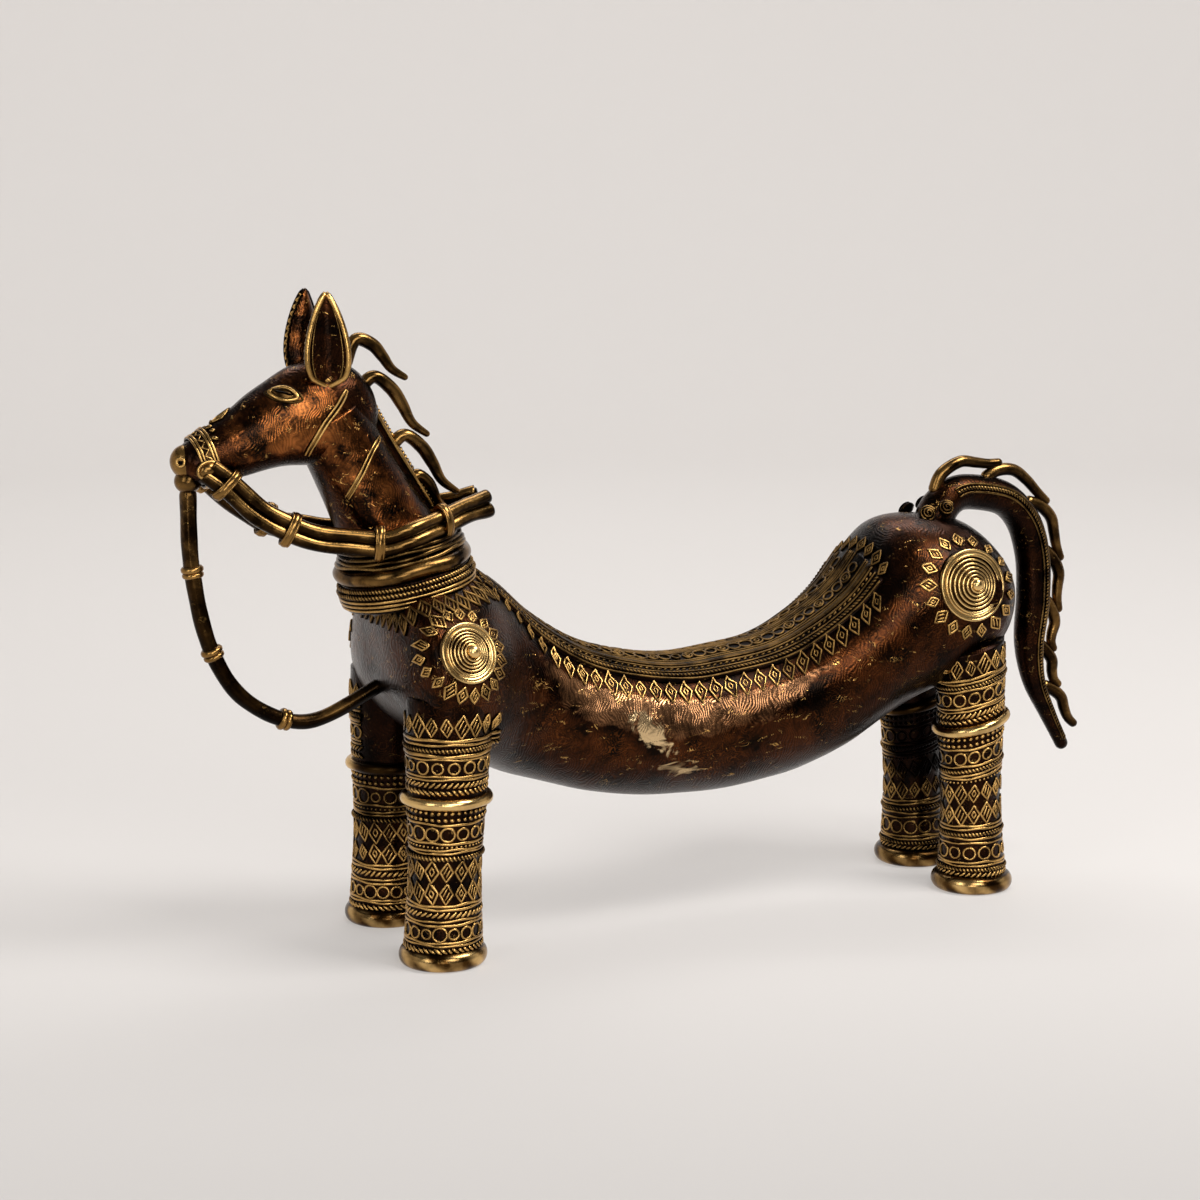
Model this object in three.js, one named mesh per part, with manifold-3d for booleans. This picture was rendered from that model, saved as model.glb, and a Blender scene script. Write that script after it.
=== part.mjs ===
// Bronze horse figurine with bridle, reins, lead rope, collar and saddle cloth.
// Millimetres, +Z up. The horse looks along -X, its left side is -Y and it stands on z = 0.

import * as THREE from "three";
import { mergeVertices } from "three/addons/utils/BufferGeometryUtils.js";
import Module from "manifold-3d";

const wasm = await Module();
wasm.setup();

// Clearance between neighbouring pieces, and the metal round the clay core
const seatGap = 0.3;
const wall = 4;

// Stance, with the legs placed at the hip line
const frontLegX = -95.5;
const legSpan = 221;
const frontTrack = 60;
const rearTrack = 45;
const hipLine = 88;

// Legs
const frontLegTop = 15.4;
const frontLegWaist = 12.7;
const frontLegLean = 3;
const rearLegTop = 13.4;
const rearLegWaist = 11.4;
const rearLegLean = -3;
const legWaistHeight = 34;
const legEntry = 10;
const footRim = 16;
const footRimHeight = 7.5;
const footSole = 14.2;
const frontKneeHeight = 61;
const rearKneeHeight = 67.5;
const rearKneeTilt = 15;
const kneeRingRadius = 2.2;

// Laid thread, as raised ribs
const ribRise = 0.8;
const ribWidth = 2.4;

// Trunk
const barrelHalf = 27;
const chestReach = 17.5;
const chestRound = 12;
const rumpReach = 22.5;
const rumpRound = 20;

// Neck and head
const neckForward = 4.7;
const neckLength = 63.5;
const neckLean = 27.5;
const neckBaseRadius = 19;
const neckTopRadius = 14;
const neckRoot = 30;
const headLength = 55.5;
const headPitch = 17.4;
const jawDepth = 16.5;
const muzzleRadius = 8.6;
const noseBulb = 4.4;
const chinBulb = 4.6;
const earHeight = 33;
const earWidth = 12.6;
const earWall = 1.6;
const eyeLength = 9;
const nosebandSetback = 8.7;
const nosebandWidth = 6;
const nosebandThickness = 1.8;
const bitKnobRadius = 3.4;
const strapRadius = 1.4;

// Mane
const crestHeight = 2.6;
const crestWidth = 7;
const lockRadius = 2.5;
const lockReach = 26;

// Reins and lead rope
const reinTube = 2.45;
const reinSag = 8.5;
const reinTail = 18;
const keeperLength = 3.4;
const keeperThickness = 1.3;
const ropeTop = 3;
const ropeBottom = 2.6;
const ropeDrop = 87;
const ferruleRadius = 4;
const ferruleLength = 5.5;

// Collar, saddle cloth and rosettes
const collarRadius = 25.2;
const collarRise = 2;
const collarTilt = 7.4;
const collarWidth = 6.5;
const collarCord = 1.6;
const collarSkirt = 9;
const clothThickness = 1;
const clothEdge = 47;
const clothFront = 0.165;
const clothRear = 0.82;
const clothHem = 1.05;
const clothTooth = 1.36;
const clothTeeth = 21;
const clothFolds = 14;
const shoulderRosette = 11;
const hipRosette = 14;
const rosetteHeight = 4.6;
const rosetteRim = 1.6;
const rosetteTurns = 4;

// Tail
const tailRootRadius = 8;
const tailRadius = 6.9;
const tailTip = 2.6;
const tailDrop = 99.5;
const strandRadius = 2.6;
const strandStand = 5.2;
const strandCount = 7;

const rearLegX = frontLegX + legSpan;
const degrees = Math.PI / 180;
const lateral = new THREE.Vector3(0, 1, 0);
const mix = THREE.MathUtils.lerp;

const darkBronze = { color: 0x3b281b, metalness: 1, roughness: 0.42 };
const brightBronze = { color: 0x9c7645, metalness: 1, roughness: 0.36 };
const firedClay = { color: 0x8a6a52, metalness: 0, roughness: 0.95 };

const planePoint = (x, z, y = 0) => new THREE.Vector3(x, y, z);
const splineThrough = (points) => new THREE.CatmullRomCurve3(points);
const evenShares = (steps, from = 0, to = 1) =>
  Array.from({ length: steps + 1 }, (_, i) => from + ((to - from) * i) / steps);
const around = (sides, place) => Array.from({ length: sides }, (_, i) => place((2 * Math.PI * i) / sides));

// A closed solid from any geometry whose faces point out
function solid(geometry) {
  const bare = new THREE.BufferGeometry();
  bare.setAttribute("position", geometry.getAttribute("position"));
  if (geometry.index) bare.setIndex(geometry.index);
  const merged = mergeVertices(bare, 1e-4);
  const vertProperties = new Float32Array(merged.getAttribute("position").array);
  const triVerts = new Uint32Array(merged.index.array);
  return new wasm.Manifold(new wasm.Mesh({ numProp: 3, vertProperties, triVerts }));
}

// The solid with each cutter taken away, as its largest body
function cut(shape, ...cutters) {
  const rest = cutters.reduce((left, cutter) => left.subtract(cutter), shape);
  return rest.decompose().reduce((a, b) => (b.volume() > a.volume() ? b : a));
}

// A named mesh whose own origin is its seat
function piece(name, shape, finish, seat) {
  const { vertProperties, triVerts } = shape.getMesh();
  const geometry = new THREE.BufferGeometry();
  geometry.setAttribute("position", new THREE.BufferAttribute(new Float32Array(vertProperties), 3));
  geometry.setIndex(new THREE.BufferAttribute(new Uint32Array(triVerts), 1));
  geometry.translate(-seat.x, -seat.y, -seat.z);
  geometry.computeVertexNormals();
  const mesh = new THREE.Mesh(geometry, new THREE.MeshStandardMaterial(finish));
  mesh.name = name;
  mesh.position.copy(seat);
  return mesh;
}

// A skin over rings that each turn anticlockwise about the way they follow, closed on a pole at each end
function skin(rings, startPole, endPole) {
  const sides = rings[0].length;
  const points = [startPole, ...rings.flat(), endPole];
  const at = (ring, i) => 1 + ring * sides + (i % sides);
  const last = rings.length - 1;
  const faces = [];
  for (let i = 0; i < sides; i += 1) {
    faces.push(0, at(0, i + 1), at(0, i));
    faces.push(points.length - 1, at(last, i), at(last, i + 1));
    for (let ring = 0; ring < last; ring += 1) {
      faces.push(at(ring, i), at(ring, i + 1), at(ring + 1, i + 1));
      faces.push(at(ring, i), at(ring + 1, i + 1), at(ring + 1, i));
    }
  }
  return new THREE.BufferGeometry().setFromPoints(points).setIndex(faces);
}

// A section carried along a curve: outline(share, angle) gives its sideways and its upward offset
function sweep(curve, shares, sides, outline) {
  const rings = shares.map((share) => {
    const centre = curve.getPointAt(share);
    const along = curve.getTangentAt(share);
    const aside = lateral.clone().addScaledVector(along, -along.dot(lateral)).normalize();
    const above = along.clone().cross(aside);
    return around(sides, (angle) => {
      const [across, over] = outline(share, angle);
      return centre.clone().addScaledVector(aside, across).addScaledVector(above, over);
    });
  });
  return skin(rings, curve.getPointAt(shares[0]), curve.getPointAt(shares[shares.length - 1]));
}

// A round bar along a curve with domed ends
function bar(curve, radiusAt, steps, sides) {
  const length = curve.getLength();
  const dome = [20, 55];
  const start = dome.map((a) => (radiusAt(0) * (1 - Math.cos(a * degrees))) / length);
  const end = dome.map((a) => 1 - (radiusAt(1) * (1 - Math.cos(a * degrees))) / length).reverse();
  const middle = evenShares(steps, radiusAt(0) / length, 1 - radiusAt(1) / length);
  return sweep(curve, [...start, ...middle, ...end], sides, (share, angle) => {
    const near = Math.min((share * length) / radiusAt(0), ((1 - share) * length) / radiusAt(1), 1);
    const radius = radiusAt(share) * Math.sqrt(1 - (1 - near) ** 2);
    return [radius * Math.cos(angle), radius * Math.sin(angle)];
  });
}

function lathe(profile, segments) {
  const points = profile.map(([radius, height]) => new THREE.Vector2(radius, height));
  return new THREE.LatheGeometry(points, segments).rotateX(Math.PI / 2);
}

function bulb(centre, radius, sides = 10) {
  return solid(new THREE.SphereGeometry(radius, sides, 8).translate(centre.x, centre.y, centre.z));
}

// Trunk sections: share of the leg span, then in barrel half widths the height of the back, the widest level
// and the underside from the hip line and the half width, and how the section narrows above and below its
// widest level (1 is an ellipse)
const trunkSections = [
  { at: -chestReach / legSpan, top: 1.852, wide: 0.63, under: 0.074, half: 1.667, above: 1.05, below: 0.7 },
  { at: 0, top: 1.926, wide: 0.556, under: -0.407, half: 1.722, above: 1.25, below: 0.62 },
  { at: 0.07, top: 1.907, wide: 0.37, under: -0.704, half: 1.519, above: 1.2, below: 0.72 },
  { at: 0.13, top: 1.6, wide: 0.148, under: -0.963, half: 1.167, above: 1.1, below: 0.9 },
  { at: 0.19, top: 1.15, wide: 0, under: -1.148, half: 1.037, above: 1, below: 1 },
  { at: 0.28, top: 0.7, wide: -0.296, under: -1.37, half: 1, above: 1, below: 1 },
  { at: 0.38, top: 0.463, wide: -0.481, under: -1.519, half: 1, above: 1, below: 1 },
  { at: 0.46, top: 0.389, wide: -0.556, under: -1.567, half: 1, above: 1, below: 1 },
  { at: 0.54, top: 0.444, wide: -0.537, under: -1.578, half: 1, above: 1, below: 1 },
  { at: 0.625, top: 0.548, wide: -0.426, under: -1.489, half: 1.019, above: 1, below: 1 },
  { at: 0.695, top: 0.793, wide: -0.241, under: -1.378, half: 1.056, above: 1, below: 1 },
  { at: 0.775, top: 1.25, wide: 0.148, under: -1.126, half: 1.13, above: 1, below: 0.95 },
  { at: 0.875, top: 2.15, wide: 0.704, under: -0.63, half: 1.259, above: 1, below: 0.85 },
  { at: 1, top: 2.13, wide: 1.037, under: -0.148, half: 1.352, above: 1.05, below: 0.7 },
  { at: 1 + rumpReach / legSpan, top: 1.741, wide: 1.11, under: 0.185, half: 1.26, above: 1.05, below: 0.75 },
];

const trunkLines = Object.fromEntries(
  ["top", "wide", "under", "half", "above", "below"].map((key) => [
    key,
    new THREE.SplineCurve(trunkSections.map((s) => new THREE.Vector2(frontLegX + s.at * legSpan, s[key]))),
  ]),
);

const roundOff = (depth, length) => (depth >= length ? 1 : (1 - (1 - depth / length) ** 2.4) ** (1 / 2.4));

// The trunk's section at a share of its length, made larger all round by grow
function trunkSection(share, grow) {
  const shape = (key) => trunkLines[key].getPoint(share).y;
  const at = (key) => barrelHalf * shape(key);
  const x = trunkLines.top.getPoint(share).x + grow * (2 * share - 1);
  const front = frontLegX - chestReach - grow;
  const rear = rearLegX + rumpReach + grow;
  const fill = roundOff(x - front, chestRound) * roundOff(rear - x, rumpRound);
  return {
    x,
    wide: hipLine + at("wide"),
    rise: (at("top") - at("wide") + grow) * fill,
    drop: (at("wide") - at("under") + grow) * fill,
    half: (at("half") + grow) * fill,
    above: shape("above"),
    below: shape("below"),
  };
}

function trunkPoint(section, angle) {
  const c = Math.cos(angle);
  const s = Math.sin(angle);
  const across = section.half * Math.sign(c) * Math.abs(c) ** (s > 0 ? section.above : section.below);
  return planePoint(section.x, section.wide + s * (s > 0 ? section.rise : section.drop), across);
}

function trunkForm(grow, ringCount = 26, sides = 18) {
  const shares = evenShares(ringCount).map((t) => (1 - Math.cos(Math.PI * t)) / 2);
  const rings = shares.slice(1, -1).map((share) => {
    const section = trunkSection(share, grow);
    return around(sides, (angle) => trunkPoint(section, angle));
  });
  const pole = (share) => {
    const { x, wide } = trunkSection(share, grow);
    return planePoint(x, wide);
  };
  return solid(skin(rings, pole(0), pole(1)));
}

// Neck, straight at its lean, rooted inside the withers
const withers = hipLine + barrelHalf * trunkSections[1].top;
const neckBase = planePoint(frontLegX - neckForward, withers);
const neckWay = planePoint(-Math.sin(neckLean * degrees), Math.cos(neckLean * degrees));
const neckBack = planePoint(neckWay.z, -neckWay.x);
const neckAt = (distance) => neckBase.clone().addScaledVector(neckWay, distance);
const poll = neckAt(neckLength);

function neckRadius(distance) {
  const rise = THREE.MathUtils.clamp(distance / neckLength, 0, 1);
  return mix(neckTopRadius, neckBaseRadius, (1 - rise) ** 1.8);
}

function neckForm(grow, from = -neckRoot, to = neckLength) {
  const curve = new THREE.LineCurve3(neckAt(from), neckAt(to));
  return solid(
    sweep(curve, evenShares(7), 16, (share, angle) => {
      const radius = neckRadius(mix(from, to, share)) + grow;
      return [radius * Math.cos(angle), radius * Math.sin(angle)];
    }),
  );
}

// A point on the neck, turned from its back by an angle towards one side
function neckSide(distance, angle, side, stand) {
  const radius = neckRadius(distance) + stand;
  return neckAt(distance)
    .addScaledVector(neckBack, radius * Math.cos(angle * degrees))
    .addScaledVector(lateral, side * radius * Math.sin(angle * degrees));
}

// Head along its own pitched axis, with heights above and below the axis and half width at each distance
const headWay = planePoint(-Math.cos(headPitch * degrees), -Math.sin(headPitch * degrees));
const headUp = planePoint(-Math.sin(headPitch * degrees), Math.cos(headPitch * degrees));
const headSections = [
  { at: -0.324 * headLength, up: 0.364 * jawDepth, down: 0.485 * jawDepth, half: 0.303 * jawDepth },
  { at: -0.252 * headLength, up: 0.776 * jawDepth, down: 0.848 * jawDepth, half: 0.545 * jawDepth },
  { at: -0.09 * headLength, up: 1.109 * jawDepth, down: 1.03 * jawDepth, half: 0.758 * jawDepth },
  { at: 0.108 * headLength, up: 1.23 * jawDepth, down: jawDepth, half: 0.848 * jawDepth },
  { at: 0.36 * headLength, up: 1.061 * jawDepth, down: 0.745 * jawDepth, half: 0.788 * jawDepth },
  { at: 0.622 * headLength, up: 0.764 * jawDepth, down: 0.642 * jawDepth, half: 0.642 * jawDepth },
  { at: 0.82 * headLength, up: 1.058 * muzzleRadius, down: 1.093 * muzzleRadius, half: 1.023 * muzzleRadius },
  { at: 0.946 * headLength, up: 0.814 * muzzleRadius, down: 0.86 * muzzleRadius, half: 0.837 * muzzleRadius },
  { at: headLength, up: 0.465 * muzzleRadius, down: 0.512 * muzzleRadius, half: 0.512 * muzzleRadius },
];
const headLines = Object.fromEntries(
  ["up", "down", "half"].map((key) => [
    key,
    new THREE.SplineCurve(headSections.map((s) => new THREE.Vector2(s.at, s[key]))),
  ]),
);
const headPoint = (along, over, across = 0) =>
  poll.clone().addScaledVector(headWay, along).addScaledVector(headUp, over).addScaledVector(lateral, across);

function headSection(share, grow) {
  const size = (key) => headLines[key].getPoint(share).y + grow;
  const at = headLines.up.getPoint(share).x + grow * (2 * share - 1);
  return { at, up: size("up"), down: size("down"), half: size("half") };
}

function headSkin(shares, grow) {
  const rings = shares.map((share) => {
    const s = headSection(share, grow);
    return around(16, (angle) => {
      const over = -Math.sin(angle) * (Math.sin(angle) > 0 ? s.down : s.up);
      return headPoint(s.at, over, s.half * Math.cos(angle));
    });
  });
  const back = headSection(shares[0], grow).at;
  const front = headSection(shares[shares.length - 1], grow).at;
  const dome = 0.018 * headLength;
  return solid(skin(rings, headPoint(back - dome, 0), headPoint(front + dome, 0)));
}

function headForm(grow) {
  const nose = bulb(headPoint(headLength - 0.2 * noseBulb, 0.4 * noseBulb), noseBulb + grow);
  const chinEnd = bulb(headPoint(headLength - 0.2 * chinBulb, -1.42 * chinBulb), chinBulb + grow);
  return headSkin(evenShares(14), grow).add(nose).add(chinEnd);
}

// The share of the head's sections that lies a distance along its axis
function headShare(along) {
  let share = 0.5;
  for (let step = 0.25; step > 1e-4; step /= 2) share += headSection(share, 0).at < along ? step : -step;
  return share;
}

// A point on the head's left or right side, at a distance along it and a height over its axis
function headSide(along, over, side) {
  const s = headSection(headShare(along), 0);
  return headPoint(along, over, side * s.half * Math.sqrt(1 - (over / (over > 0 ? s.up : s.down)) ** 2));
}

// Ear: a cupped leaf standing along Z with its hollow towards +Y
function earLeaf() {
  const rings = evenShares(7, 0.04, 0.96).map((share) => {
    const half = earWidth * (0.5 * Math.sin(Math.PI * share ** 0.62) ** 0.8 + 0.07);
    const cup = 0.5 * half;
    const across = evenShares(4, 1, -1);
    const hollow = across.map((v) => planePoint((half - earWall / 2) * v, share * earHeight, cup * v * v));
    const back = across.map((v) => planePoint(-half * v, share * earHeight, cup * v * v - earWall));
    return [...hollow, ...back];
  });
  return skin(rings, planePoint(0, 0, -earWall / 2), planePoint(0, earHeight, -earWall / 2));
}

const earSeat = (side) => headPoint(-0.022 * headLength, 0.636 * jawDepth, side * 0.62 * jawDepth);

function ear(side) {
  const seat = earSeat(side);
  const leaf = earLeaf().rotateZ((90 - side * 75) * degrees);
  leaf.rotateX(side * -4 * degrees).rotateY(-2 * degrees);
  return cut(solid(leaf.translate(seat.x, seat.y, seat.z)), headForm(seatGap));
}

const eyeSeat = (side) => headSide(0.267 * headLength, 0.824 * jawDepth, side);

function eye(side) {
  const seat = eyeSeat(side);
  const pellet = new THREE.SphereGeometry(eyeLength / 2, 10, 8).scale(1, 0.5, 0.6);
  pellet.rotateX(side * 45 * degrees).rotateY(-headPitch * degrees);
  return cut(solid(pellet.translate(seat.x, seat.y, seat.z)), headForm(seatGap));
}

// Noseband and bit, set back from the lips
const nosebandAt = headLength - nosebandSetback;

function nosebandForm(grow) {
  const half = nosebandWidth / 2 + grow;
  const shares = evenShares(4, headShare(nosebandAt - half), headShare(nosebandAt + half));
  return headSkin(shares, nosebandThickness + grow);
}

function bitSeat(side) {
  const onLip = headSide(nosebandAt + 0.59 * bitKnobRadius, -0.59 * bitKnobRadius, side);
  return onLip.addScaledVector(lateral, side * 0.765 * bitKnobRadius);
}

const bitForm = (side, grow) => bulb(bitSeat(side), bitKnobRadius + grow);

// Straps lie half sunk on the head and the neck
function cheekStrap(side) {
  const stops = [[-0.122, 0.44], [-0.032, 0.22], [0.09, -0.03], [0.207, -0.38], [0.247, -0.56]];
  const points = stops.map(([along, over]) => headSide(along * headLength, over * jawDepth, side));
  const strap = solid(bar(splineThrough(points), () => strapRadius, 6, 8));
  return cut(strap, headForm(seatGap), neckForm(seatGap));
}

function neckStrap(side) {
  const stops = [[0.766, 40], [0.732, 70], [0.654, 100], [0.57, 130]];
  const points = stops.map(([share, angle]) => neckSide(share * neckLength, angle, side, 0));
  return cut(solid(bar(splineThrough(points), () => strapRadius, 7, 8)), neckForm(seatGap));
}

// Mane: a strip down the back of the neck, with hooked locks springing from it
function crestForm(grow) {
  const stops = [0.22, 0.5, 0.79, 1.07].map((share) => neckSide(share * neckLength, 0, 1, crestHeight / 2));
  const curve = splineThrough(stops);
  return solid(
    sweep(curve, evenShares(8), 10, (_, angle) => [
      (crestWidth / 2 + grow) * Math.cos(angle),
      (0.73 * crestHeight + grow) * Math.sin(angle),
    ]),
  );
}

const maneLocks = [
  { root: headPoint(-0.21 * headLength, 0.8 * jawDepth), rise: 0.4, droop: 0.4, reach: 0.92 * lockReach },
  { root: neckSide(1.03 * neckLength, 0, 1, 0.7 * lockRadius), rise: 0.12, droop: 0.84, reach: lockReach },
  { root: neckSide(0.65 * neckLength, 0, 1, 0.45 * lockRadius), rise: 0.12, droop: 0.84, reach: lockReach },
  { root: neckSide(0.41 * neckLength, 0, 1, 0), rise: 0.15, droop: 0.9, reach: 0.55 * lockReach },
];

function lockForm(lock, grow) {
  const across = [0, 0.2, 0.45, 0.61, 0.75, 1];
  const rise = [0, 1, 1, 0.8, 0.6, 0.4];
  const droop = [0, 0.02, -0.18, -0.43, -0.7, -0.9];
  const points = across.map((share, i) => {
    const offset = planePoint(share, rise[i] * lock.rise + droop[i] * lock.droop);
    return lock.root.clone().addScaledVector(offset, lock.reach);
  });
  return solid(bar(splineThrough(points), (share) => lockRadius * (1 - 0.55 * share ** 3) + grow, 9, 7));
}

// Reins: two tubes one above the other, from the bit round the side of the neck to a free end behind it
function reinCurve(side) {
  const stand = reinTube + keeperThickness + 2 * seatGap;
  const bit = bitSeat(side);
  const front = neckSide(0.29 * neckLength, 118, side, stand);
  const hang = bit.clone().lerp(front, 0.46).add(planePoint(0, -reinSag));
  const end = neckAt(0.091 * neckLength).addScaledVector(neckBack, neckBaseRadius + reinTail);
  end.addScaledVector(lateral, side * 2.25 * reinTube);
  const beside = neckSide(0.236 * neckLength, 87, side, stand);
  const behind = neckSide(0.19 * neckLength, 50, side, stand);
  return splineThrough([bit, hang, front, beside, behind, end]);
}

function reinForm(side, grow) {
  const apart = 0.9 * reinTube;
  return solid(
    sweep(reinCurve(side), evenShares(17), 8, (_, angle) => {
      const s = Math.sin(angle);
      const c = Math.cos(angle);
      const reach = apart * Math.abs(s) + Math.sqrt((reinTube + grow) ** 2 - (apart * c) ** 2);
      return [reach * c, reach * s];
    }),
  );
}

const keeperShares = [0.07, 0.3, 0.57, 0.8];

function keeper(side, share) {
  const curve = reinCurve(side);
  const half = keeperLength / 2 / curve.getLength();
  const outer = solid(
    sweep(curve, evenShares(2, share - half, share + half), 10, (at, angle) => {
      const swell = keeperThickness * (1 - 0.4 * ((at - share) / half) ** 2) + seatGap;
      return [(reinTube + swell) * Math.cos(angle), (1.9 * reinTube + swell) * Math.sin(angle)];
    }),
  );
  const near = [neckForm(seatGap), bitForm(side, seatGap), nosebandForm(seatGap), collarCordForm(seatGap)];
  return cut(outer, reinForm(side, seatGap), ...near);
}

// Lead rope: a stiff bar hanging from the chin in a bow to the chest
const chin = headPoint(headLength - 0.1 * chinBulb, -1.57 * chinBulb);
const ropeBow = [[0, 0], [0.009, -0.341], [0.084, -0.683], [0.218, -0.889], [0.467, -1]];
const ropeCurve = splineThrough([
  ...ropeBow.map(([x, z]) => chin.clone().addScaledVector(planePoint(x, z), ropeDrop)),
  planePoint(frontLegX - chestReach + 2 * ropeTop, hipLine + 0.389 * barrelHalf),
]);
const ropeForm = (grow) => solid(bar(ropeCurve, (share) => mix(ropeTop, ropeBottom, share) + grow, 18, 8));

function ferrule(share) {
  const half = ferruleLength / 2 / ropeCurve.getLength();
  const outer = solid(
    sweep(ropeCurve, evenShares(4, share - half, share + half), 10, (at, angle) => {
      const radius = mix(1.35 * ropeBottom, ferruleRadius, 1 - ((at - share) / half) ** 2);
      return [radius * Math.cos(angle), radius * Math.sin(angle)];
    }),
  );
  return cut(outer, ropeForm(seatGap));
}

// Collar rings, level but for a small tilt, let on to the foot of the neck
const collarSeat = neckAt(collarRise);
const collarBore = neckBaseRadius - wall;

function collarForm(profile) {
  const ring = lathe(profile, 20).rotateY(-collarTilt * degrees);
  return solid(ring.translate(collarSeat.x, collarSeat.y, collarSeat.z));
}

function collarHoop(radius, over, height) {
  const middle = (radius + collarBore) / 2;
  const profile = evenShares(6).map((share) => {
    const angle = 2 * Math.PI * share;
    return [middle + (radius - middle) * Math.cos(angle), over + (height / 2) * Math.sin(angle)];
  });
  return collarForm(profile);
}

const collarBandForm = () => collarHoop(collarRadius, 0, collarWidth);
const cordOver = collarWidth / 2 + collarCord + seatGap;
const collarCordForm = (grow) =>
  collarHoop(collarRadius - collarCord + grow, cordOver, 2 * (collarCord + grow));

function collarSkirtForm(grow) {
  const top = -collarWidth / 2 - seatGap;
  const bottom = top - collarSkirt - grow;
  const rim = collarRadius - 0.3 * collarCord + grow;
  const profile = [
    [collarBore, bottom],
    [rim - 1.25 * collarCord, bottom],
    [rim, (top + bottom) / 2],
    [rim - 0.6 * collarCord, top],
    [collarBore, top],
    [collarBore, bottom],
  ];
  return collarForm(profile);
}

// Saddle cloth: a strip over the back from the withers to the rump, ribbed along its length, with a fringe of
// pointed teeth along both edges; the ribs lie at shares of the way from its middle to its edge
const clothRibs = [-0.88, -0.7, -0.28, 0, 0.28, 0.7, 0.88];

function saddleCloth() {
  const ribHalf = 0.07;
  const rib = (at) => [[at - ribHalf, 0], [at, ribRise], [at + ribHalf, 0]];
  const ribs = clothRibs.flatMap(rib);
  const ringAt = (share, reach) => {
    const over = [[-reach, 0], [-1, 0], ...ribs, [1, 0], [reach, 0]];
    const under = evenShares(6, reach, -reach).map((across) => [across, 0]);
    const arc = (stops, grow) =>
      stops.map(([across, rise]) => {
        const angle = 90 + (90 - clothEdge) * across;
        return trunkPoint(trunkSection(share, grow + rise), angle * degrees);
      });
    return [...arc(over, seatGap + clothThickness), ...arc(under, -wall / 2)];
  };
  // Rows run straight between the folds
  const folds = evenShares(clothFolds, clothFront, clothRear);
  const rings = evenShares(2 * clothTeeth, 0, clothFolds).map((place, row) => {
    const reach = row % 2 ? clothTooth : clothHem;
    const fold = Math.min(Math.floor(place), clothFolds - 1);
    const after = ringAt(folds[fold + 1], reach);
    return ringAt(folds[fold], reach).map((point, k) => point.lerp(after[k], place - fold));
  });
  const crown = (ribs.length + 3) / 2;
  const middle = (ring) => ring[crown].clone().lerp(ring[2 * crown + 4], 0.5);
  const strip = solid(skin(rings, middle(rings[0]), middle(rings[rings.length - 1])));
  return cut(strip, trunkForm(seatGap), collarSkirtForm(seatGap));
}

// Rosettes: a coiled boss that rises in turns to a point
function rosette(centre, radius, tilt, side, ...cutters) {
  const step = (radius - rosetteRim) / rosetteTurns;
  const lip = 0.4 * rosetteRim;
  const profile = [[0, -2 * wall], [radius, -2 * wall], [radius, lip], [radius - rosetteRim, lip]];
  for (let turn = 0; turn < rosetteTurns; turn += 1) {
    const outer = radius - rosetteRim - turn * step;
    const rise = (rosetteHeight * turn) / rosetteTurns;
    profile.push([outer - 0.35 * step, rise + 0.9 * rosetteRim], [outer - 0.9 * step, rise + rosetteRim / 2]);
  }
  profile.push([0, rosetteHeight + lip]);
  const boss = lathe(profile, 14).rotateX(side * -(90 - tilt) * degrees);
  return cut(solid(boss.translate(centre.x, centre.y, centre.z)), ...cutters);
}

// Legs: round posts with a flared foot, running up into the trunk, ribbed at shares of the hip line
const legs = {
  front: {
    x: frontLegX,
    y: frontTrack / 2,
    top: frontLegTop,
    waist: frontLegWaist,
    lean: frontLegLean,
    knee: frontKneeHeight,
    kneeTilt: 0,
    ribs: [0.135, 0.2, 0.266, 0.468, 0.517, 0.609, 0.8, 0.885, 0.948],
  },
  rear: {
    x: rearLegX,
    y: rearTrack / 2,
    top: rearLegTop,
    waist: rearLegWaist,
    lean: rearLegLean,
    knee: rearKneeHeight,
    kneeTilt: rearKneeTilt,
    ribs: [0.14, 0.245, 0.31, 0.56, 0.682, 0.866],
  },
};

// The foot stands ahead of the hip by the lean
const legSeat = (leg, side, height) =>
  planePoint(leg.x - leg.lean * (1 - height / hipLine), height, side * leg.y);

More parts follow.
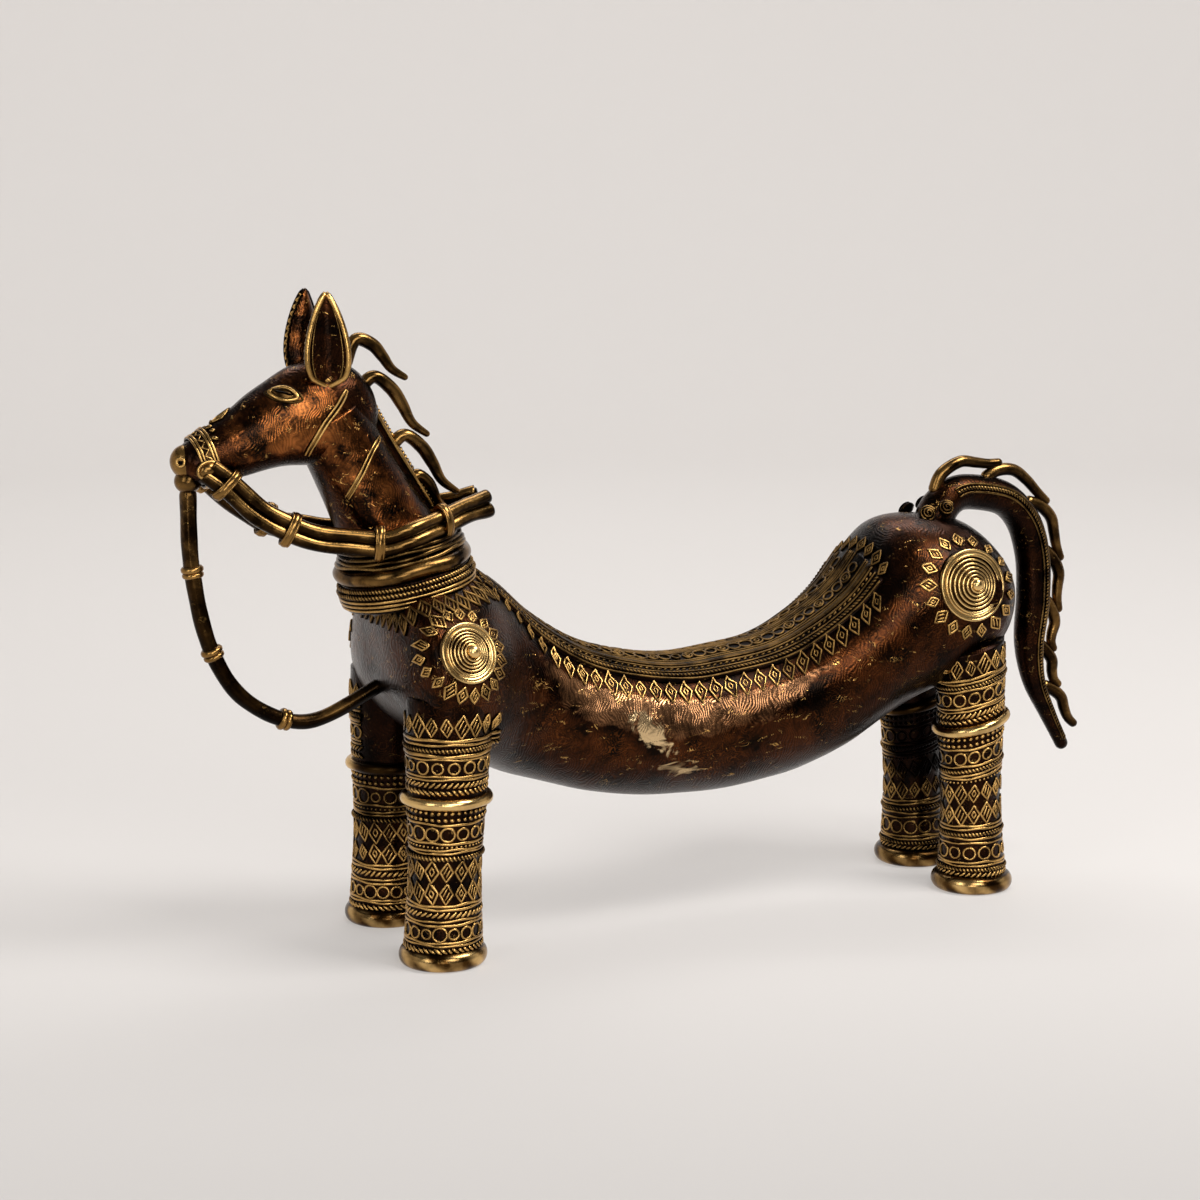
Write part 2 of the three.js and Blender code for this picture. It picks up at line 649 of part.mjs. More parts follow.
function legForm(leg, side, grow) {
  const { top, waist, lean } = leg;
  const ankle = mix(waist, footRim, 0.3);
  const shank = new THREE.SplineCurve([
    new THREE.Vector2(ankle, 1.27 * footRimHeight),
    new THREE.Vector2(waist, legWaistHeight),
    new THREE.Vector2(mix(waist, top, 0.4), mix(legWaistHeight, hipLine, 0.5)),
    new THREE.Vector2(top, hipLine),
  ]);
  const line = shank.getPoints(40);
  const shankAt = (height) => {
    const next = Math.max(line.findIndex((p) => p.y >= height), 1);
    const share = (height - line[next - 1].y) / (line[next].y - line[next - 1].y);
    return mix(line[next - 1].x, line[next].x, share) + grow;
  };
  const heights = leg.ribs.map((share) => share * hipLine);
  const ribbed = heights.flatMap((height) => [
    [shankAt(height - ribWidth / 2), height - ribWidth / 2],
    [shankAt(height) + ribRise, height - ribWidth / 4],
    [shankAt(height) + ribRise, height + ribWidth / 4],
    [shankAt(height + ribWidth / 2), height + ribWidth / 2],
  ]);
  const bare = shank.getPoints(6).filter((p) => heights.every((height) => Math.abs(p.y - height) > ribWidth));
  const profile = [
    [0, -grow],
    [footSole + grow, -grow],
    [footRim + grow, 0.3 * footRimHeight],
    [footRim + grow, 0.7 * footRimHeight],
    ...[...ribbed, ...bare.map((p) => [p.x + grow, p.y])].sort((a, b) => a[1] - b[1]),
    [top + grow, hipLine + legEntry],
    [0, hipLine + legEntry],
  ];
  const post = lathe(profile, 18);
  const place = post.getAttribute("position");
  const slope = Math.tan(leg.kneeTilt * degrees);
  for (let i = 0; i < place.count; i += 1) {
    const tilt = slope * THREE.MathUtils.smoothstep(place.getZ(i), 0.05 * hipLine, 0.68 * hipLine);
    place.setZ(i, place.getZ(i) + tilt * place.getX(i));
  }
  post.applyMatrix4(new THREE.Matrix4().makeShear(0, 0, 0, 0, lean / hipLine, 0));
  const foot = legSeat(leg, side, 0);
  return solid(post.translate(foot.x, foot.y, foot.z));
}

function kneeRing(leg, side) {
  const radius = mix(leg.waist, leg.top, (leg.knee - legWaistHeight) / (hipLine - legWaistHeight));
  const ring = new THREE.TorusGeometry(radius + seatGap, kneeRingRadius, 6, 18);
  ring.rotateY(-leg.kneeTilt * degrees);
  const seat = legSeat(leg, side, leg.knee);
  return cut(solid(ring.translate(seat.x, seat.y, seat.z)), legForm(leg, side, seatGap), trunkForm(seatGap));
}

// Tail: arched up from the rump and down behind, swept back at its tip
const tailRoot = planePoint(rearLegX - 0.13 * barrelHalf, hipLine + barrelHalf * trunkSections[13].top);
const tailArch = [
  [-0.03, -0.101], [0.015, 0.03], [0.09, 0.085], [0.201, 0.085], [0.322, 0.05], [0.407, -0.035],
  [0.457, -0.171], [0.467, -0.352], [0.455, -0.553], [0.482, -0.704], [0.548, -0.839], [0.638, -1],
];
const tailCurve = splineThrough(
  tailArch.map(([x, z]) => tailRoot.clone().addScaledVector(planePoint(x, z), tailDrop)),
);

function tailRadiusAt(share) {
  const root = mix(tailRootRadius, tailRadius, THREE.MathUtils.smoothstep(share, 0.05, 0.2));
  return mix(root, tailTip, THREE.MathUtils.smoothstep(share, 0.55, 1));
}

const tailForm = (grow) => solid(bar(tailCurve, (share) => tailRadiusAt(share) + grow, 22, 10));

// Strands overlap like tiles along the outside of the tail, each hooked out of it
function strandForm(index, grow) {
  const first = 0.1;
  const pitch = (0.93 - first) / strandCount;
  const stands = [-0.4, 0.5, 0.85, 0.8, 0.85, 1.15];
  const points = stands.map((stand, i) => {
    const share = Math.min(first + pitch * (index + (1.16 * i) / (stands.length - 1)), 0.995);
    const along = tailCurve.getTangentAt(share);
    const outward = planePoint(-along.z, along.x);
    return tailCurve.getPointAt(share).addScaledVector(outward, tailRadiusAt(share) + stand * strandStand);
  });
  return solid(bar(splineThrough(points), (share) => strandRadius * (1 - 0.35 * share ** 2) + grow, 8, 7));
}

function bodyGroup() {
  const group = new THREE.Group();
  const inside = (grow) => {
    const passage = neckForm(grow, -neckRoot, neckLength - neckTopRadius - 2 * wall + grow);
    return trunkForm(grow, 16, 12).add(passage);
  };
  const collar = (form) => cut(form, neckForm(seatGap), trunkForm(seatGap));
  const trunkSeat = planePoint(frontLegX + legSpan / 2, hipLine);
  const neck = cut(neckForm(0, -neckRoot / 2), trunkForm(seatGap), headForm(seatGap), inside(-wall));
  group.add(
    piece("trunk", cut(trunkForm(0), inside(-wall)), darkBronze, trunkSeat),
    piece("clay_core", cut(inside(-wall - seatGap)), firedClay, trunkSeat),
    piece("neck", neck, darkBronze, neckBase),
    piece("head", headForm(0), darkBronze, poll),
    piece("noseband", cut(nosebandForm(0), headForm(seatGap)), brightBronze, headPoint(nosebandAt, 0)),
    piece("saddle_cloth", saddleCloth(), darkBronze, trunkSeat),
    piece("collar_cord", collar(collarCordForm(0)), darkBronze, collarSeat),
    piece("collar_band", collar(collarBandForm()), brightBronze, collarSeat),
    piece("collar_skirt", collar(collarSkirtForm(0)), darkBronze, collarSeat),
    piece("tail", cut(tailForm(0), trunkForm(seatGap)), darkBronze, tailRoot),
  );
  return group;
}

function maneGroup() {
  const group = new THREE.Group();
  const crest = cut(crestForm(0), neckForm(seatGap), headForm(seatGap));
  group.add(piece("mane_crest", crest, darkBronze, neckBase));
  maneLocks.forEach((lock, i) => {
    const next = maneLocks.slice(i + 1, i + 2).map((below) => lockForm(below, seatGap));
    const shape = cut(lockForm(lock, 0), neckForm(seatGap), headForm(seatGap), crestForm(seatGap), ...next);
    group.add(piece(`mane_lock_${i + 1}`, shape, brightBronze, lock.root));
  });
  return group;
}

function leadGroup() {
  const group = new THREE.Group();
  group.add(piece("lead_rope", cut(ropeForm(0), headForm(seatGap), trunkForm(seatGap)), brightBronze, chin));
  [0.215, 0.43, 0.7].forEach((share, i) => {
    group.add(piece(`lead_ferrule_${i + 1}`, ferrule(share), brightBronze, ropeCurve.getPointAt(share)));
  });
  return group;
}

function strandGroup() {
  const group = new THREE.Group();
  for (let i = 0; i < strandCount; i += 1) {
    const next = i + 1 < strandCount ? [strandForm(i + 1, seatGap)] : [];
    const shape = cut(strandForm(i, 0), tailForm(seatGap), trunkForm(seatGap), ...next);
    group.add(piece(`tail_strand_${i + 1}`, shape, brightBronze, tailRoot));
  }
  return group;
}

// What the horse has once on each side
function sideGroup(name, side) {
  const group = new THREE.Group();
  const trunkCut = trunkForm(seatGap);
  const bit = cut(bitForm(side, 0), headForm(seatGap), nosebandForm(seatGap));
  const rein = cut(reinForm(side, 0), bitForm(side, seatGap), neckForm(seatGap), nosebandForm(seatGap));
  group.add(
    piece(`ear_${name}`, ear(side), darkBronze, earSeat(side)),
    piece(`eye_${name}`, eye(side), brightBronze, eyeSeat(side)),
    piece(`bit_knob_${name}`, bit, brightBronze, bitSeat(side)),
    piece(`cheek_strap_${name}`, cheekStrap(side), brightBronze, poll),
    piece(`neck_strap_${name}`, neckStrap(side), brightBronze, neckBase),
    piece(`rein_${name}`, rein, brightBronze, bitSeat(side)),
  );
  keeperShares.forEach((share, i) => {
    const seat = reinCurve(side).getPointAt(share);
    group.add(piece(`rein_keeper_${name}_${i + 1}`, keeper(side, share), brightBronze, seat));
  });
  for (const [end, leg] of Object.entries(legs)) {
    const post = cut(legForm(leg, side, 0), trunkCut);
    group.add(piece(`leg_${end}_${name}`, post, darkBronze, legSeat(leg, side, 0)));
    const kneeSeat = legSeat(leg, side, leg.knee);
    group.add(piece(`knee_ring_${end}_${name}`, kneeRing(leg, side), brightBronze, kneeSeat));
  }
  const onTrunk = (x, up, out) => planePoint(x, hipLine + up * barrelHalf, side * out * barrelHalf);
  const shoulder = onTrunk(frontLegX + 0.111 * barrelHalf, 0.981, 1.537);
  const hip = onTrunk(rearLegX - 0.259 * barrelHalf, 1.304, 1.241);
  const bosses = { shoulder: [shoulder, shoulderRosette, 20], hip: [hip, hipRosette, 12] };
  for (const [place, [centre, radius, tilt]] of Object.entries(bosses)) {
    const boss = rosette(centre, radius, tilt, side, trunkCut);
    group.add(piece(`${place}_rosette_${name}`, boss, brightBronze, centre));
  }
  return group;
}

const horse = new THREE.Group();
horse.add(bodyGroup(), maneGroup(), leadGroup(), strandGroup(), sideGroup("left", -1), sideGroup("right", 1));

export default horse;
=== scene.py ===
import bpy
import numpy as np
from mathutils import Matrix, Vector


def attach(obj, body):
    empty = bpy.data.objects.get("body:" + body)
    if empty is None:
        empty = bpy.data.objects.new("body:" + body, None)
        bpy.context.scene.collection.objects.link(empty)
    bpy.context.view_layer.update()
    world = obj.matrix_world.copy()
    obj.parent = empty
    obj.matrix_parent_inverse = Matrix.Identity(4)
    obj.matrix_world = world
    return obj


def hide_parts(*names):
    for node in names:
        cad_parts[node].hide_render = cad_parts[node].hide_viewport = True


# Cast bronze horse with wax-thread ornament. Shapes are worked out in millimetres, meshes are in metres.
# The horse looks along -X, its left side is -Y and it stands on z = 0.
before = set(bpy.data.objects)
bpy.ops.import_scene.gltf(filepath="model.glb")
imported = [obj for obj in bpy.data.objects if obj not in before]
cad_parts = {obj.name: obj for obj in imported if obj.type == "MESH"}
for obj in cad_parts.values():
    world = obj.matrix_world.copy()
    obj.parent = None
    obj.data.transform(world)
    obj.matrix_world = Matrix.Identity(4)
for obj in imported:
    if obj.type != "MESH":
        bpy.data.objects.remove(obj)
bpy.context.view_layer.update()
scene = bpy.context.scene
scene.view_settings.view_transform = "Standard"
rng = np.random.default_rng(11)
lateral = np.array([0.0, 1.0, 0.0])
sideNames = {-1: "Left", 1: "Right"}


# The turn that points the -Z of a camera or lamp from its place to its aim
def looking(place, aim):
    return (Vector(aim) - Vector(place)).to_track_quat("-Z", "Y").to_euler()


# Camera, where the photograph was taken from
shot = {"stand": (-0.42549, -0.89978, 0.29059), "aim": (-0.023, 0.0, 0.1221), "lens": 80.13}
camera = bpy.data.objects.new("camera", bpy.data.cameras.new("camera"))
camera.data.lens = shot["lens"]
camera.data.sensor_width = 36
camera.location = shot["stand"]
camera.rotation_euler = looking(shot["stand"], shot["aim"])
scene.collection.objects.link(camera)
scene.camera = camera


# Curves and frames


# Vectors divided by their lengths
def unit(v):
    return v / np.maximum(np.linalg.norm(v, axis=-1, keepdims=True), 1e-9)


# From a to b by the share t
def mix(a, b, t):
    return a + (b - a) * t


# 0 before low, 1 after high, an s-curve between
def ease(x, low, high):
    t = np.clip((x - low) / (high - low), 0, 1)
    return t * t * (3 - 2 * t)


# Even angles round a circle
def turns(count):
    return 2 * np.pi * np.arange(count) / count


# A point of an ellipse: cosine of the angle times its first half axis and sine times its second
def circle(angle, first, second):
    return np.cos(angle)[..., None] * first + np.sin(angle)[..., None] * second


# Catmull-Rom curve through rows at even parameter steps, its end rows doubled
def rowSpline(rows, share):
    rows = np.asarray(rows, float)
    padded = np.concatenate([rows[:1], rows, rows[-1:]])
    place = np.clip(share, 0, 1) * (len(rows) - 1)
    i = np.minimum(place.astype(int), len(rows) - 2)
    t = (place - i)[..., None]
    a, b, c, d = (padded[i + k] for k in range(4))
    return b + 0.5 * t * (c - a + t * (2 * a - 5 * b + 4 * c - d + t * (3 * (b - c) + d - a)))


# Centripetal Catmull-Rom curve through points, then spaced evenly by its length
def smoothPath(points):
    p = np.asarray(points, float)
    p = np.vstack([2 * p[0] - p[1], p, 2 * p[-1] - p[-2]])
    a, b, c, d = p[:-3], p[1:-2], p[2:-1], p[3:]
    x, y, z = (np.linalg.norm(n - m, axis=1, keepdims=True) ** 0.5 for m, n in ((a, b), (b, c), (c, d)))
    startSlope = ((b - a) / x - (c - a) / (x + y) + (c - b) / y) * y
    endSlope = ((c - b) / y - (d - b) / (y + z) + (d - c) / z) * y
    t = np.linspace(0, 1, 60, endpoint=False)[:, None, None]
    curve = b + t * (startSlope + t * (3 * (c - b) - 2 * startSlope - endSlope
                                       + t * (2 * (b - c) + startSlope + endSlope)))
    return respace(np.vstack([curve.transpose(1, 0, 2).reshape(-1, 3), p[-2:-1]]), 500)


# Running length: the sum of the steps up to each point
def pathLength(path):
    return np.concatenate([[0], np.cumsum(np.linalg.norm(np.diff(path, axis=0), axis=1))])


# Points at marks, on straight lines between those at known places
def between(marks, places, points):
    return np.stack([np.interp(marks, places, points[:, k]) for k in range(3)], -1)


# Points at even steps of the running length
def respace(path, count):
    length = pathLength(path)
    return between(np.linspace(0, length[-1], count), length, path)


# Centre, way, sideways and upward directions at shares of an evenly spaced path
def pathFrame(path, share):
    place = np.linspace(0, 1, len(path))
    way = unit(between(share, place, np.gradient(path, axis=0)))
    aside = unit(lateral - (way @ lateral)[..., None] * way)
    return between(share, place, path), way, aside, np.cross(way, aside)


# Forms: points, faces, wear and shading from 0 to 1 (dark recesses and painted shade low, rubbed crests and
# painted highlights high), and which of the finishes they take


# Grids (rows, columns, 3), or several (n, rows, columns, 3): columns turn anticlockwise about the rows' way
def gridForm(points, rub, coat=0, wrapRows=False):
    points = points if points.ndim == 4 else points[None]
    n, rows, columns = points.shape[:3]
    index = np.arange(n * rows * columns).reshape(n, rows, columns)
    ring = np.concatenate([index, index[:, :, :1]], 2)
    ring = np.concatenate([ring, ring[:, :1]], 1) if wrapRows else ring
    quads = np.stack([ring[:, :-1, :-1], ring[:, :-1, 1:], ring[:, 1:, 1:], ring[:, 1:, :-1]], -1)
    faces = [quads.reshape(-1, 4)]
    if not wrapRows:
        faces += [index[:, 0, ::-1], index[:, -1]]
    return points.reshape(-1, 3), faces, np.broadcast_to(rub, (n, rows, columns)).ravel(), coat


# Threads along paths (n, m, 3): rounds of the radius, drawn out by flat along the normal, rubbed on top
def tubes(paths, normals, radius, sides=6, closed=False, flat=1.0, rub=1.0, coat=1):
    slope = np.roll(paths, -1, 1) - np.roll(paths, 1, 1) if closed else np.gradient(paths, axis=1)
    way = unit(slope)
    aside = unit(np.cross(normals, way))[:, :, None]
    over = np.cross(way, aside[:, :, 0])[:, :, None]
    turn = turns(sides)
    radius = np.asarray(radius, float)
    radius = radius[..., None] if radius.ndim == 2 else radius[None, :, None] if radius.ndim == 1 else radius
    radius = np.broadcast_to(radius, paths.shape[:2] + (sides,))[..., None]
    c, s = np.cos(turn)[:, None], np.sin(turn)[:, None]
    points = paths[:, :, None] + radius * (c * aside + flat * s * over)
    return gridForm(points, rub * (0.5 + 0.5 * s[:, 0]), coat, wrapRows=closed)


# A thread along one path, with one normal for each point or one for all
def cord(path, normal, radius, *rest, **more):
    return tubes(path[None], np.broadcast_to(normal, path.shape)[None], radius, *rest, **more)


# The same form with other wear and shading, which also carries painted shade and painted highlight
def rubbed(form, rub):
    return form[0], form[1], np.ravel(rub), form[3]


# A bar along a path with domed ends: radiusAt(share) times swell(share, turn), lighter on its upper side and
# darker under it, partly wear and partly painted shade
def barForm(path, radiusAt, steps, sides, swell, rub=(0.1, 0.7)):
    length = pathLength(path)[-1]
    dome = 1 - np.cos(np.radians([8, 22, 38, 55, 72]))
    first, last = radiusAt(0.0) / length, radiusAt(1.0) / length
    share = np.concatenate([first * dome, np.linspace(first, 1 - last, steps), 1 - last * dome[::-1]])
    near = np.minimum(np.minimum(share / first, (1 - share) / last), 1)
    centre, _, aside, above = pathFrame(path, share)
    turn = turns(sides)
    radius = (radiusAt(share) * np.sqrt(1 - (1 - near) ** 2))[:, None] * swell(share[:, None], turn[None])
    out = circle(turn, aside[:, None], above[:, None])
    return gridForm(centre[:, None] + radius[..., None] * out, mix(*rub, ease(out[..., 2], -0.7, 0.8)))


# A ball stretched along three axes
def ballForm(centre, axes, rows=24, columns=32, rub=0.6, coat=0):
    tilt = np.radians(np.linspace(-86, 86, rows))[:, None]
    a, b, c = (np.asarray(axis, float) for axis in axes)
    return gridForm(centre + circle(tilt, circle(turns(columns), a, b), c), rub, coat)


# Shallow dents and swells of hand-worked wax, along the grid's own normals
def handWorked(points, depth, size):
    rowWay, columnWay = np.gradient(points, axis=0), np.roll(points, -1, 1) - np.roll(points, 1, 1)
    normal = unit(np.cross(columnWay, rowWay))
    x, y, z = (points[..., k] * 2 * np.pi / size for k in range(3))
    slant = np.sin(0.7 * x - 1.1 * y + 0.9 * z + 2.1)
    wave = np.sin(x + 1.7 * np.sin(0.6 * z)) * np.sin(0.8 * z + 1.3) + slant
    return points + depth * 0.5 * wave[..., None] * normal


# Ornament laid on a skin: skin(u, v) gives points, and u crossed with v points out of the metal


# Point and outward normal, the cross product of small steps along u and v; lift moves along the normal
def onSkin(skin, u, v, lift=0.0):
    point = skin(u, v)
    step = 1e-3
    normal = unit(np.cross(skin(u + step, v) - point, skin(u, v + step) - point))
    return point + lift * normal, normal


# Values of u that step evenly along the skin at one v
def paced(skin, span, v, pitch):
    u = np.linspace(span[0], span[1], 500)
    length = pathLength(skin(u, np.full(500, float(v))))
    count = max(int(round(length[-1] / pitch)), 1)
    return np.interp((np.arange(count) + 0.5) / count * length[-1], length, u)


# Places for motifs with the small turns and sizes of hand work: columns u, v, turn and size
def handPlaces(u, v, turn=0.0, size=1.0, stray=0.05):
    u = np.asarray(u, float)
    shake = rng.normal(size=(2, len(u))) * stray
    return np.stack(np.broadcast_arrays(u, v, turn + shake[0], size * (1 + shake[1])), -1)


# Strokes (k, m, 2) in millimetres drawn at each place and carried on to the skin
def motifs(skin, places, strokes, radius, sides=5, closed=False, lift=0.25, rub=1.0, coat=1):
    strokes = np.asarray(strokes, float)
    u, v, turn, size = (places[:, k, None, None] for k in range(4))
    step = 1e-3
    here = skin(u, v)
    wide = np.linalg.norm(skin(u + step, v) - here, axis=-1) / step
    tall = np.linalg.norm(skin(u, v + step) - here, axis=-1) / step
    x = size * (np.cos(turn) * strokes[..., 0] - np.sin(turn) * strokes[..., 1])
    y = size * (np.sin(turn) * strokes[..., 0] + np.cos(turn) * strokes[..., 1])
    m = strokes.shape[1]
    paths, normals = onSkin(skin, (u + x / wide).reshape(-1, m), (v + y / tall).reshape(-1, m), lift * radius)
    ends = np.ones(m) if closed else np.where(np.isin(np.arange(m), (0, m - 1)), 0.6, 1.0)
    return tubes(paths, normals, radius * ends, sides, closed, rub=rub, coat=coat)


# A plain thread, or one twisted from two plies when lay, the length of one turn, is given
def thread(skin, u, v, radius, lay=0.0, closed=False, sides=6, lift=0.3, flat=1.0, rub=1.0, coat=1):
    u, v = np.broadcast_arrays(np.asarray(u, float), np.asarray(v, float))
    path, normal = onSkin(skin, u, v, lift * radius)
    if not lay:
        return cord(path, normal, radius, sides, closed, flat, rub, coat)
    length = pathLength(path)
    total = length[-1] + (np.linalg.norm(path[0] - path[-1]) if closed else 0)
    twist = 2 * np.pi * length / total * max(round(total / lay), 1)
    ply = np.cos(2 * turns(8) - 2 * twist[:, None])
    form = cord(path, normal, radius * (1 + 0.3 * ply)[None], 8, closed, flat, 1.0, coat)
    return rubbed(form, form[2] * rub * (0.72 + 0.28 * ply).ravel())


# Motif strokes in millimetres


# A circle
def roundStroke(radius, count=12):
    a = turns(count)
    return np.stack([np.cos(a), np.sin(a)], -1)[None] * radius


# A diamond's outline with three points to a side, its lower tip drawn out by drop
def diamondStroke(width, height, drop=0.0):
    corners = np.array([[0, height / 2], [-width / 2, 0], [0, -height / 2 - drop], [width / 2, 0]])
    t = np.arange(3)[:, None] / 3
    return (corners[:, None] * (1 - t) + np.roll(corners, -1, 0)[:, None] * t).reshape(1, 12, 2)


# Two short bars side by side inside a diamond, leaning with its left sides
def barStrokes(width, height):
    t = np.linspace(-1, 1, 4)[:, None]
    lean = np.array([0.16 * width, 0.23 * height])
    return np.stack([t * lean + np.array([0.8 * width * o, -0.5 * height * o]) for o in (-0.14, 0.14)])


# A straight bar from one corner of a box to the other
def slantStroke(across, up):
    return (np.linspace(-0.5, 0.5, 4)[:, None] * np.array([across, up]))[None]


# A diamond with bars or a smaller diamond inside it
def diamondForms(skin, places, width, height, radius, drop=0.0, bars=True, lift=0.25, coat=1):
    laid = {"lift": lift, "coat": coat}
    outline = motifs(skin, places, diamondStroke(width, height, drop), radius, closed=True, **laid)
    if bars:
        inside = motifs(skin, places, barStrokes(width, height), 0.8 * radius, **laid)
    else:
        small = diamondStroke(0.36 * width, 0.4 * height)
        inside = motifs(skin, places, small, 0.75 * radius, closed=True, **laid)
    return [outline, inside]


# Materials


# sRGB hex to linear light: a straight foot, then the power 2.4
def tone(code):
    part = np.array([int(code[i:i + 2], 16) for i in (1, 3, 5)]) / 255
    straight = np.where(part <= 0.04045, part / 12.92, ((part + 0.055) / 1.055) ** 2.4)
    return (*straight.tolist(), 1.0)


# One node: settings are properties or input values, links are inputs fed by another node's output
def addNode(tree, kind, settings=None, links=None):
    node = tree.nodes.new(kind)
    for key, value in (settings or {}).items():
        if isinstance(key, int) or key in node.inputs:
            node.inputs[key].default_value = value
        else:
            setattr(node, key, value)
    for key, socket in (links or {}).items():
        tree.links.new(socket, node.inputs[key])
    return node


# A material with an empty node tree
def blankMaterial(name):
    material = bpy.data.materials.new(name)
    material.use_nodes = True
    material.node_tree.nodes.clear()
    return material, material.node_tree


# Cast bronze under a brown patina: broad tone patches, fine swirling strokes where the patina has rubbed to
# copper, golden scratches, and dirt that stays dark in the recesses. The dirt tone is also painted shade, and
# the shine a painted highlight, where the wear-and-shading value puts them. Each look gives the tones and how
# much of each shows.
def bronze(name, look):
    material, tree = blankMaterial(name)
    place = addNode(tree, "ShaderNodeTexCoord").outputs["Object"]
    settings = {"Rotation": (0.2, 0.8, 0.1), "Scale": (0.5, 1.0, 1.3)}
    drawn = addNode(tree, "ShaderNodeMapping", settings, {"Vector": place}).outputs[0]
    value = {"rub": addNode(tree, "ShaderNodeAttribute", {"attribute_name": "rub"}).outputs["Fac"]}
    # Noise fields: coordinates, size in millimetres, detail and distortion
    fields = {
        "patch": (place, look["patch"], 4.0, 0.0), "grain": (place, 1.1, 2.0, 0.0),
        "swirl": (place, look["swirl"], 1.5, 1.4), "gather": (place, 19.0, 2.0, 0.0),
        "scratch": (drawn, 4.2, 1.0, 1.1), "ragged": (place, 6.0, 4.0, 0.8),
    }
    for key, (vector, millimetres, detail, warp) in fields.items():
        settings = {"Scale": 1000 / millimetres, "Detail": detail, "Roughness": 0.6, "Distortion": warp}
        value[key] = addNode(tree, "ShaderNodeTexNoise", settings, {"Vector": vector}).outputs["Fac"]
    # Brushed wax lines like those of a fingerprint, 1.3 mm apart, coarser than real ones so that they show
    settings = {"Scale": 2 * np.pi / 20 / 0.0013, "Distortion": 34.0, "Detail": 1.0, "Detail Scale": 0.45}
    value["print"] = addNode(tree, "ShaderNodeTexWave", settings, {"Vector": place}).outputs["Fac"]
    # The swirls fold into thin strokes
    settings = {"operation": "PINGPONG", 1: 0.05}
    value["folded"] = addNode(tree, "ShaderNodeMath", settings, {0: value["swirl"]}).outputs[0]
    # Ranges: source, its low and high ends, and what these become
    ranges = {
        "tint": ("patch", 0.38, 0.62, 0.0, 1.0),
        "mottle": ("patch", 0.3, 0.7, -look["mottle"], look["mottle"]),
        "line": ("folded", 0.003, 0.017, 1.0, 0.0), "crack": ("print", 0.1, 0.6, look["cracks"], 0.0),
        "ridge": ("print", 0.0, 1.0, 0.0, look["ridges"]),
        "where": ("gather", 0.42, 0.6, 0.0, look["strokes"]),
        "bits": ("scratch", 0.63, 0.69, 0.0, look["nicks"]), "cleanAndLit": ("rub", *look["dirtAndShadeRange"], 0.0, 1.0),
        "polish": ("patch", 0.3, 0.7, *look["rough"]), "matt": ("rub", 0.0, 0.45, look["matt"], 0.0),
        "ragged": ("ragged", 0.3, 0.7, -0.45, 0.45),
    }
    for key, (source, low, high, start, end) in ranges.items():
        settings = {"From Min": low, "From Max": high, "To Min": start, "To Max": end}
        value[key] = addNode(tree, "ShaderNodeMapRange", settings, {"Value": value[source]}).outputs["Result"]
    # Pairs joined by an operation
    sums = {
        "strokes": ("MULTIPLY", "line", "where"), "nicks": ("MULTIPLY", "line", "bits"),
        "worn": ("ADD", "rub", "mottle"), "cuts": ("ADD", "grain", "nicks"),
        "height": ("ADD", "cuts", "ridge"), "gloss": ("ADD", "polish", "matt"),
    }
    for key, (operation, first, second) in sums.items():
        links = {0: value[first], 1: value[second]}
        value[key] = addNode(tree, "ShaderNodeMath", {"operation": operation}, links).outputs[0]
    settings = {"From Min": look["shineRange"][0], "From Max": look["shineRange"][1]}
    value["shine"] = addNode(tree, "ShaderNodeMapRange", settings, {"Value": value["worn"]}).outputs["Result"]
    # Tones laid over each other, from the patina up to the scratches, the shine partly a painted highlight,
    # then the dirt and painted shade under them all
    settings = {"data_type": "RGBA", 6: tone(look["deep"]), 7: tone(look["body"])}
    colour = addNode(tree, "ShaderNodeMix", settings, {0: value["tint"]}).outputs[2]
    for layer, share in (("shine", "shine"), ("deep", "crack"), ("copper", "strokes"), ("gold", "nicks")):
        settings = {"data_type": "RGBA", 7: tone(look[layer])}
        colour = addNode(tree, "ShaderNodeMix", settings, {0: value[share], 6: colour}).outputs[2]
    # Spots worn to bare metal: centre, size, turn about the lateral axis, and the noise along their edge
    for centre, size, turn, edge in look["wornSpots"]:
        settings = {"vector_type": "TEXTURE", "Location": centre, "Rotation": (0, turn, 0), "Scale": size}
        local = addNode(tree, "ShaderNodeMapping", settings, {"Vector": place}).outputs[0]
        reach = addNode(tree, "ShaderNodeVectorMath", {"operation": "LENGTH"}, {0: local}).outputs["Value"]
        links = {0: value[edge], 1: reach}
        near = addNode(tree, "ShaderNodeMath", {"operation": "SUBTRACT"}, links).outputs[0]
        wornFrom = look["wornFrom"][edge]
        settings = {"From Min": wornFrom, "From Max": wornFrom + 0.2, "To Max": 0.85}
        bare = addNode(tree, "ShaderNodeMapRange", settings, {"Value": near}).outputs["Result"]
        settings = {"data_type": "RGBA", 7: tone(look["pale"])}
        colour = addNode(tree, "ShaderNodeMix", settings, {0: bare, 6: colour}).outputs[2]
    settings = {"data_type": "RGBA", 6: tone(look["dirtAndShade"])}
    colour = addNode(tree, "ShaderNodeMix", settings, {0: value["cleanAndLit"], 7: colour}).outputs[2]
    settings = {"Strength": look["bump"], "Distance": 0.0004}
    bump = addNode(tree, "ShaderNodeBump", settings, {"Height": value["height"]}).outputs[0]
    settings = {"Metallic": 1.0, "Coat Weight": look["wax"], "Coat Roughness": 0.25}
    links = {"Base Color": colour, "Roughness": value["gloss"], "Normal": bump}
    shader = addNode(tree, "ShaderNodeBsdfPrincipled", settings, links)
    addNode(tree, "ShaderNodeOutputMaterial", None, {"Surface": shader.outputs[0]})
    return material


